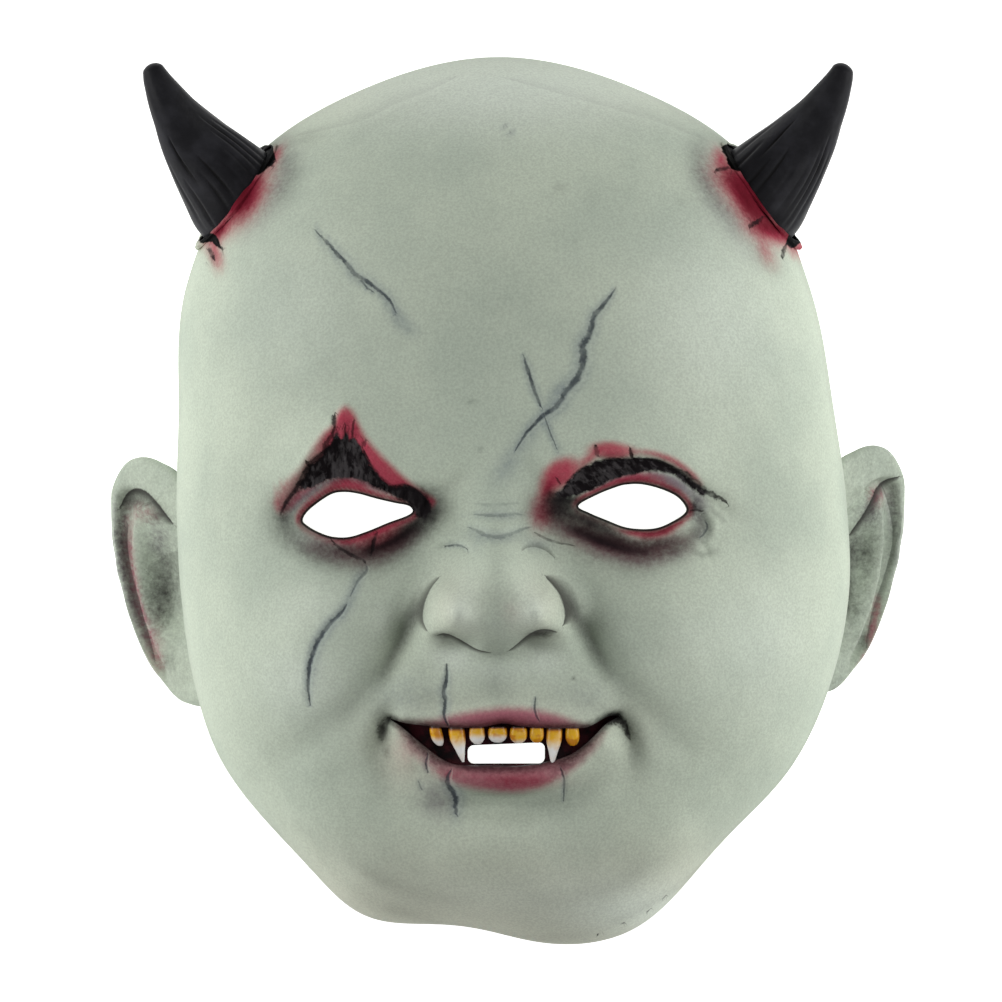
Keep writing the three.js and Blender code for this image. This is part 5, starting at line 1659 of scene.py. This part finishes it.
def paint_ear(points, side):
    """Coverage on an ear: pink in the groove, painted shade in the hollow, in the grooves and under the
    rolled rim, painted highlights along the rims, and mottled inside the rim.
    """
    x, y = points[:, :2].T / EAR_DEPTH_SCALE
    front = ear_front(points, side)
    line, puff = airbrush(x, y)
    # Painted shade in each ear's grooves, under its rolled rim and in its hollow, and painted highlights
    # along its rims
    if side < 0:
        smoke_and_painted_shade = layered(
            line(0.66, 1.5, (-125.6, 1), (-129, -4), (-129.5, -12), (-128.2, -23), (-125, -36),
                 (-121.2, -46)),
            puff(0.75, (-125.4, 0), 5, 3.4), puff(0.72, (-115, -29), 6.4, 10),
            line(0.5, 1.6, (-119, -6), (-115, -4.6), (-112.4, -6)), puff(0.4, (-117, -36), 5, 7),
            puff(0.3, (-118, -4), 4, 3), puff(0.3, (-114, -55), 3, 3), 0.12,
        )
        painted_light = line(0.8, 0.8, (-132, 2), (-132.4, -12), (-130.8, -25), (-127.6, -36), (-124, -46),
                    (-120, -54))
        pink = layered(
            line(0.55, 1.6, (-127.2, -7), (-127, -14), (-126, -24), (-123, -37), (-119.4, -47),
                 (-116.8, -56)),
            puff(0.35, (-122, -4), 5, 3), puff(0.3, (-118, -52), 3, 8),
        )
        violet = layered(line(0.6, 2.4, (-130, -4), (-130, -20), (-125, -36), (-120, -48)),
                         puff(0.4, (-117, -13), 4, 5))
    else:
        smoke_and_painted_shade = layered(
            line(0.3, 1.6, (133.6, 6), (135.2, -3), (135.4, -14), (133.4, -24)),
            puff(0.35, (126, -3), 3, 5), puff(0.5, (124, -18), 4.4, 8),
            line(0.6, 1.8, (119.4, -12), (119, -24), (117, -38)), puff(0.4, (120, -36), 3, 6),
            puff(0.5, (123.4, -48), 2.6, 2.4), puff(0.2, (113, -62), 3, 3), 0.19,
        )
        painted_light = layered(line(0.6, 1, (136.6, 4), (137, -8), (136, -18), (133.4, -30), (129, -44)),
                       line(0.85, 0.7, (130.4, 4), (133, -4), (133.6, -12), (131, -27)))
        pink = layered(
            line(0.8, 1.3, (129, -34), (127.6, -41), (126, -48)), puff(0.6, (128, 2), 2.6, 3),
            line(0.5, 1.1, (124.4, -52), (121.8, -58)),
        )
        violet = layered(puff(0.4, (125, -4), 4, 4), line(0.4, 2, (134, 4), (135, -10)))
    coats = {"smoke_and_painted_shade": smoke_and_painted_shade, "lip": pink, "violet": violet, "painted_light": painted_light, "warm": 0.0, "halo_and_painted_shade": 0.0}
    return {name: front * coverage for name, coverage in coats.items()}


class MASK_OT_skin(Operator):
    """Builds the head skin with its face, ears, torn collars and teeth, and paints it"""

    bl_idname = "mask.skin"
    bl_label = "Mask skin"

    def execute(self, context):
        settings = context.scene.mask_skin
        head, ears, collar = (skin_material(name, settings, mottle) for name, mottle in SKINS.items())
        latex = latex_material("bare_latex", settings)
        gum = gum_material("black_gum", settings)
        ivory = tooth_material("stained_teeth", context.scene.mask_teeth)
        lining = set_in(head_grid(LINING_AROUND, LINING_FRONT_ROWS, LINING_BACK_ROWS, inside=True), WALL)
        foot = lining[-1:].copy()
        foot[..., 2] = BELOW_RIM
        outer = ring_body(head_grid(HEAD_AROUND, None, HEAD_BACK_ROWS, fine=True))
        shell = new_object("mask_skin", outer, [head])

        def under_gum(x, y):
            return gum_height(x, y) - WALL

        def under_skin(x, y):
            return front_height(x, y) - MOUTH_UNDER_SKIN

        def over_face(x, y):
            return 0 * x + HOLE_CUT[1]

        steps = [
            ("UNION", ear_body(-1), ears),
            ("UNION", ear_body(1), ears),
            ("UNION", collar_body(-1), collar),
            ("UNION", collar_body(1), collar),
            ("DIFFERENCE", ring_body(np.concatenate([lining, foot])), latex),
            ("UNION", mouth_slab(MOUTH_MARGIN, under_gum, under_skin), latex),
            ("DIFFERENCE", mouth_slab(0.0, gum_height, over_face), gum),
        ]
        steps += [("UNION", tooth_body(*row[:4]), ivory) for row in TEETH]
        steps += [
            ("DIFFERENCE", prism_body(LEFT_EYE_LINE, *HOLE_CUT), latex),
            ("DIFFERENCE", prism_body(RIGHT_EYE_LINE, *HOLE_CUT), latex),
            ("DIFFERENCE", prism_body(mouth_hole_line(), *HOLE_CUT), gum),
            ("DIFFERENCE", arch_body(), latex),
        ]
        combine(shell, steps)
        mesh = shell.data
        self.paint(mesh)
        mesh.shade_smooth()
        mesh.set_sharp_from_angle(angle=SHARP_ANGLE)
        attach(shell, "root")
        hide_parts("mask_shell")
        return {"FINISHED"}

    def paint(self, mesh):
        """Keeps the coverages of head, ears and collars, the drawn lines, and the stain of the teeth."""
        points = places(mesh)
        x, y = points[:, 0], points[:, 1]
        on_ears = on_material(mesh, "painted_ears")
        on_collars = on_material(mesh, "painted_collars")
        coats = paint_head(points)
        lined = np.where(on_collars | (np.abs(x) > EARS_FROM), 0.0, in_front(points)[0])
        for side in (-1, 1):
            chosen = on_ears & (np.sign(x) == side)
            lined[chosen] = ear_front(points[chosen], side)
            for name, values in paint_ear(points[chosen], side).items():
                coats[name][chosen] = values
            chosen = on_collars & (np.sign(x) == side)
            # The torn skin's inner face, next to the horn, painted black as the shade in that crevice
            inner = collar_inside(points[chosen], side)
            coats["black"][chosen] = layered(coats["black"][chosen], 0.97 * inner)
        for kind, groups in LINES.items():
            for k, rows in enumerate(groups):
                value, drawn = inked(x, y, rows)
                seen = lined if kind == "shade" else lined * ~on_ears
                keep_value(mesh, f"{kind}_{k}", value)
                keep_value(mesh, f"{kind}_{k}_near", drawn * seen)
                if kind == "crack":
                    halo_and_painted_shade = 0.5 * drawn * np.exp(-((value / HALO_REACH) ** 2))
                    coats["halo_and_painted_shade"] = layered(coats["halo_and_painted_shade"], halo_and_painted_shade * ~(on_ears | on_collars))
        for name, values in coats.items():
            keep_value(mesh, name, values)
        keep_value(mesh, "hole_gap", np.where(on_ears, 9, np.minimum(eye_gap(x, y), 9)))
        stain = np.zeros(len(points))
        root = np.zeros(len(points))
        for middle, width, length, lean, yellow in TEETH:
            share = (TOOTH_TOP - y) / length
            across = np.abs(x - middle - lean * np.clip(share, 0, 1) ** 1.5) / (width / 2)
            mine = across < 1.15
            stain = np.where(mine, smooth_step(share, yellow + 0.25, yellow - 0.2), stain)
            # Dark at the root and down the sides of each tooth: partly a painted outline, partly painted
            # shade where it meets the gum and turns away
            dark = np.maximum(smooth_step(share, 0.2, 0.02), 0.75 * smooth_step(across, 0.78, 1.0))
            root = np.where(mine, dark, root)
        keep_value(mesh, "stain", stain)
        keep_value(mesh, "root", root)


class MASK_OT_horns(Operator):
    """Builds both grooved black horns, seated on the head"""

    bl_idname = "mask.horns"
    bl_label = "Horns"

    def execute(self, context):
        settings = context.scene.mask_horns
        material = horn_material("black_horn", settings)
        for side, name in ((-1, "left"), (1, "right")):
            body, splits = horn_body(side, settings.groove / MM)
            horn = new_object(f"horn_{name}_skin", body, [material])
            keep_value(horn.data, "split", splits)
            horn.data.shade_smooth()
            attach(horn, "root")
            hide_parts(f"horn_{name}")
        return {"FINISHED"}


class MASK_OT_stage(Operator):
    """Sets the pale floor, the soft lights and the camera straight above"""

    bl_idname = "mask.stage"
    bl_label = "Stage"

    def execute(self, context):
        scene = context.scene
        settings = scene.mask_stage
        middle = Vector((SHIFT_X * MM, SHIFT_Y * MM, 0))
        half = 3.0
        mesh = bpy.data.meshes.new("floor")
        corners = [(x, y, 0) for x, y in ((-half, -half), (half, -half), (half, half), (-half, half))]
        mesh.from_pydata(corners, [], [(0, 1, 2, 3)])
        floor = bpy.data.objects.new("floor", mesh)
        scene.collection.objects.link(floor)
        w = Wiring("floor")
        w.shader.inputs["Base Color"].default_value = colour(settings.floor)
        w.shader.inputs["Roughness"].default_value = 0.9
        w.shader.inputs["Emission Color"].default_value = colour(settings.floor)
        w.shader.inputs["Emission Strength"].default_value = settings.glow
        mesh.materials.append(w.material)
        for name, place, size, power in (
            ("light_left", (-0.75, 0.1, 0.45), 0.7, settings.side_light),
            ("light_right", (0.75, 0.1, 0.45), 0.7, settings.side_light),
            ("light_top", (0.0, 0.05, 1.35), 0.9, settings.top_light),
        ):
            light = bpy.data.lights.new(name, "AREA")
            light.energy = power
            light.size = size
            lamp = bpy.data.objects.new(name, light)
            lamp.location = Vector(place) + middle
            aim = middle + Vector((0, 0, 0.08)) - lamp.location
            lamp.rotation_euler = aim.to_track_quat("-Z", "Y").to_euler()
            scene.collection.objects.link(lamp)
        world = scene.world or bpy.data.worlds.new("world")
        scene.world = world
        world.use_nodes = True
        world.node_tree.nodes["Background"].inputs["Color"].default_value = (1, 1, 1, 1)
        world.node_tree.nodes["Background"].inputs["Strength"].default_value = settings.sky
        scene.view_settings.view_transform = "Standard"
        lens = bpy.data.cameras.new("camera")
        lens.sensor_width = 36
        lens.lens = lens.sensor_width * settings.camera_height / settings.view_width
        camera = bpy.data.objects.new("camera", lens)
        camera.location = middle + Vector((0, 0, settings.camera_height))
        scene.collection.objects.link(camera)
        scene.camera = camera
        return {"FINISHED"}


class MASK_PT_panel(Panel):
    """Lists the mask's settings and the steps that build it"""

    bl_idname = "MASK_PT_panel"
    bl_label = "Devil mask"
    bl_space_type = "VIEW_3D"
    bl_region_type = "UI"
    bl_category = "Mask"

    def draw(self, context):
        scene = context.scene
        for groups, step in (
            ((scene.mask_stage,), MASK_OT_stage),
            ((scene.mask_skin, scene.mask_teeth), MASK_OT_skin),
            ((scene.mask_horns,), MASK_OT_horns),
        ):
            box = self.layout.box()
            for settings in groups:
                for name in settings.__annotations__:
                    box.prop(settings, name)
            box.operator(step.bl_idname)


CLASSES = (
    SkinSettings, ToothSettings, HornSettings, StageSettings,
    MASK_OT_stage, MASK_OT_skin, MASK_OT_horns, MASK_PT_panel,
)


def register():
    for each in CLASSES:
        bpy.utils.register_class(each)
    bpy.types.Scene.mask_skin = PointerProperty(type=SkinSettings)
    bpy.types.Scene.mask_teeth = PointerProperty(type=ToothSettings)
    bpy.types.Scene.mask_horns = PointerProperty(type=HornSettings)
    bpy.types.Scene.mask_stage = PointerProperty(type=StageSettings)


def unregister():
    for name in ("mask_skin", "mask_teeth", "mask_horns", "mask_stage"):
        delattr(bpy.types.Scene, name)
    for each in reversed(CLASSES):
        bpy.utils.unregister_class(each)


def main():
    register()
    bpy.ops.mask.stage()
    bpy.ops.mask.skin()
    bpy.ops.mask.horns()


if __name__ == "__main__":
    main()
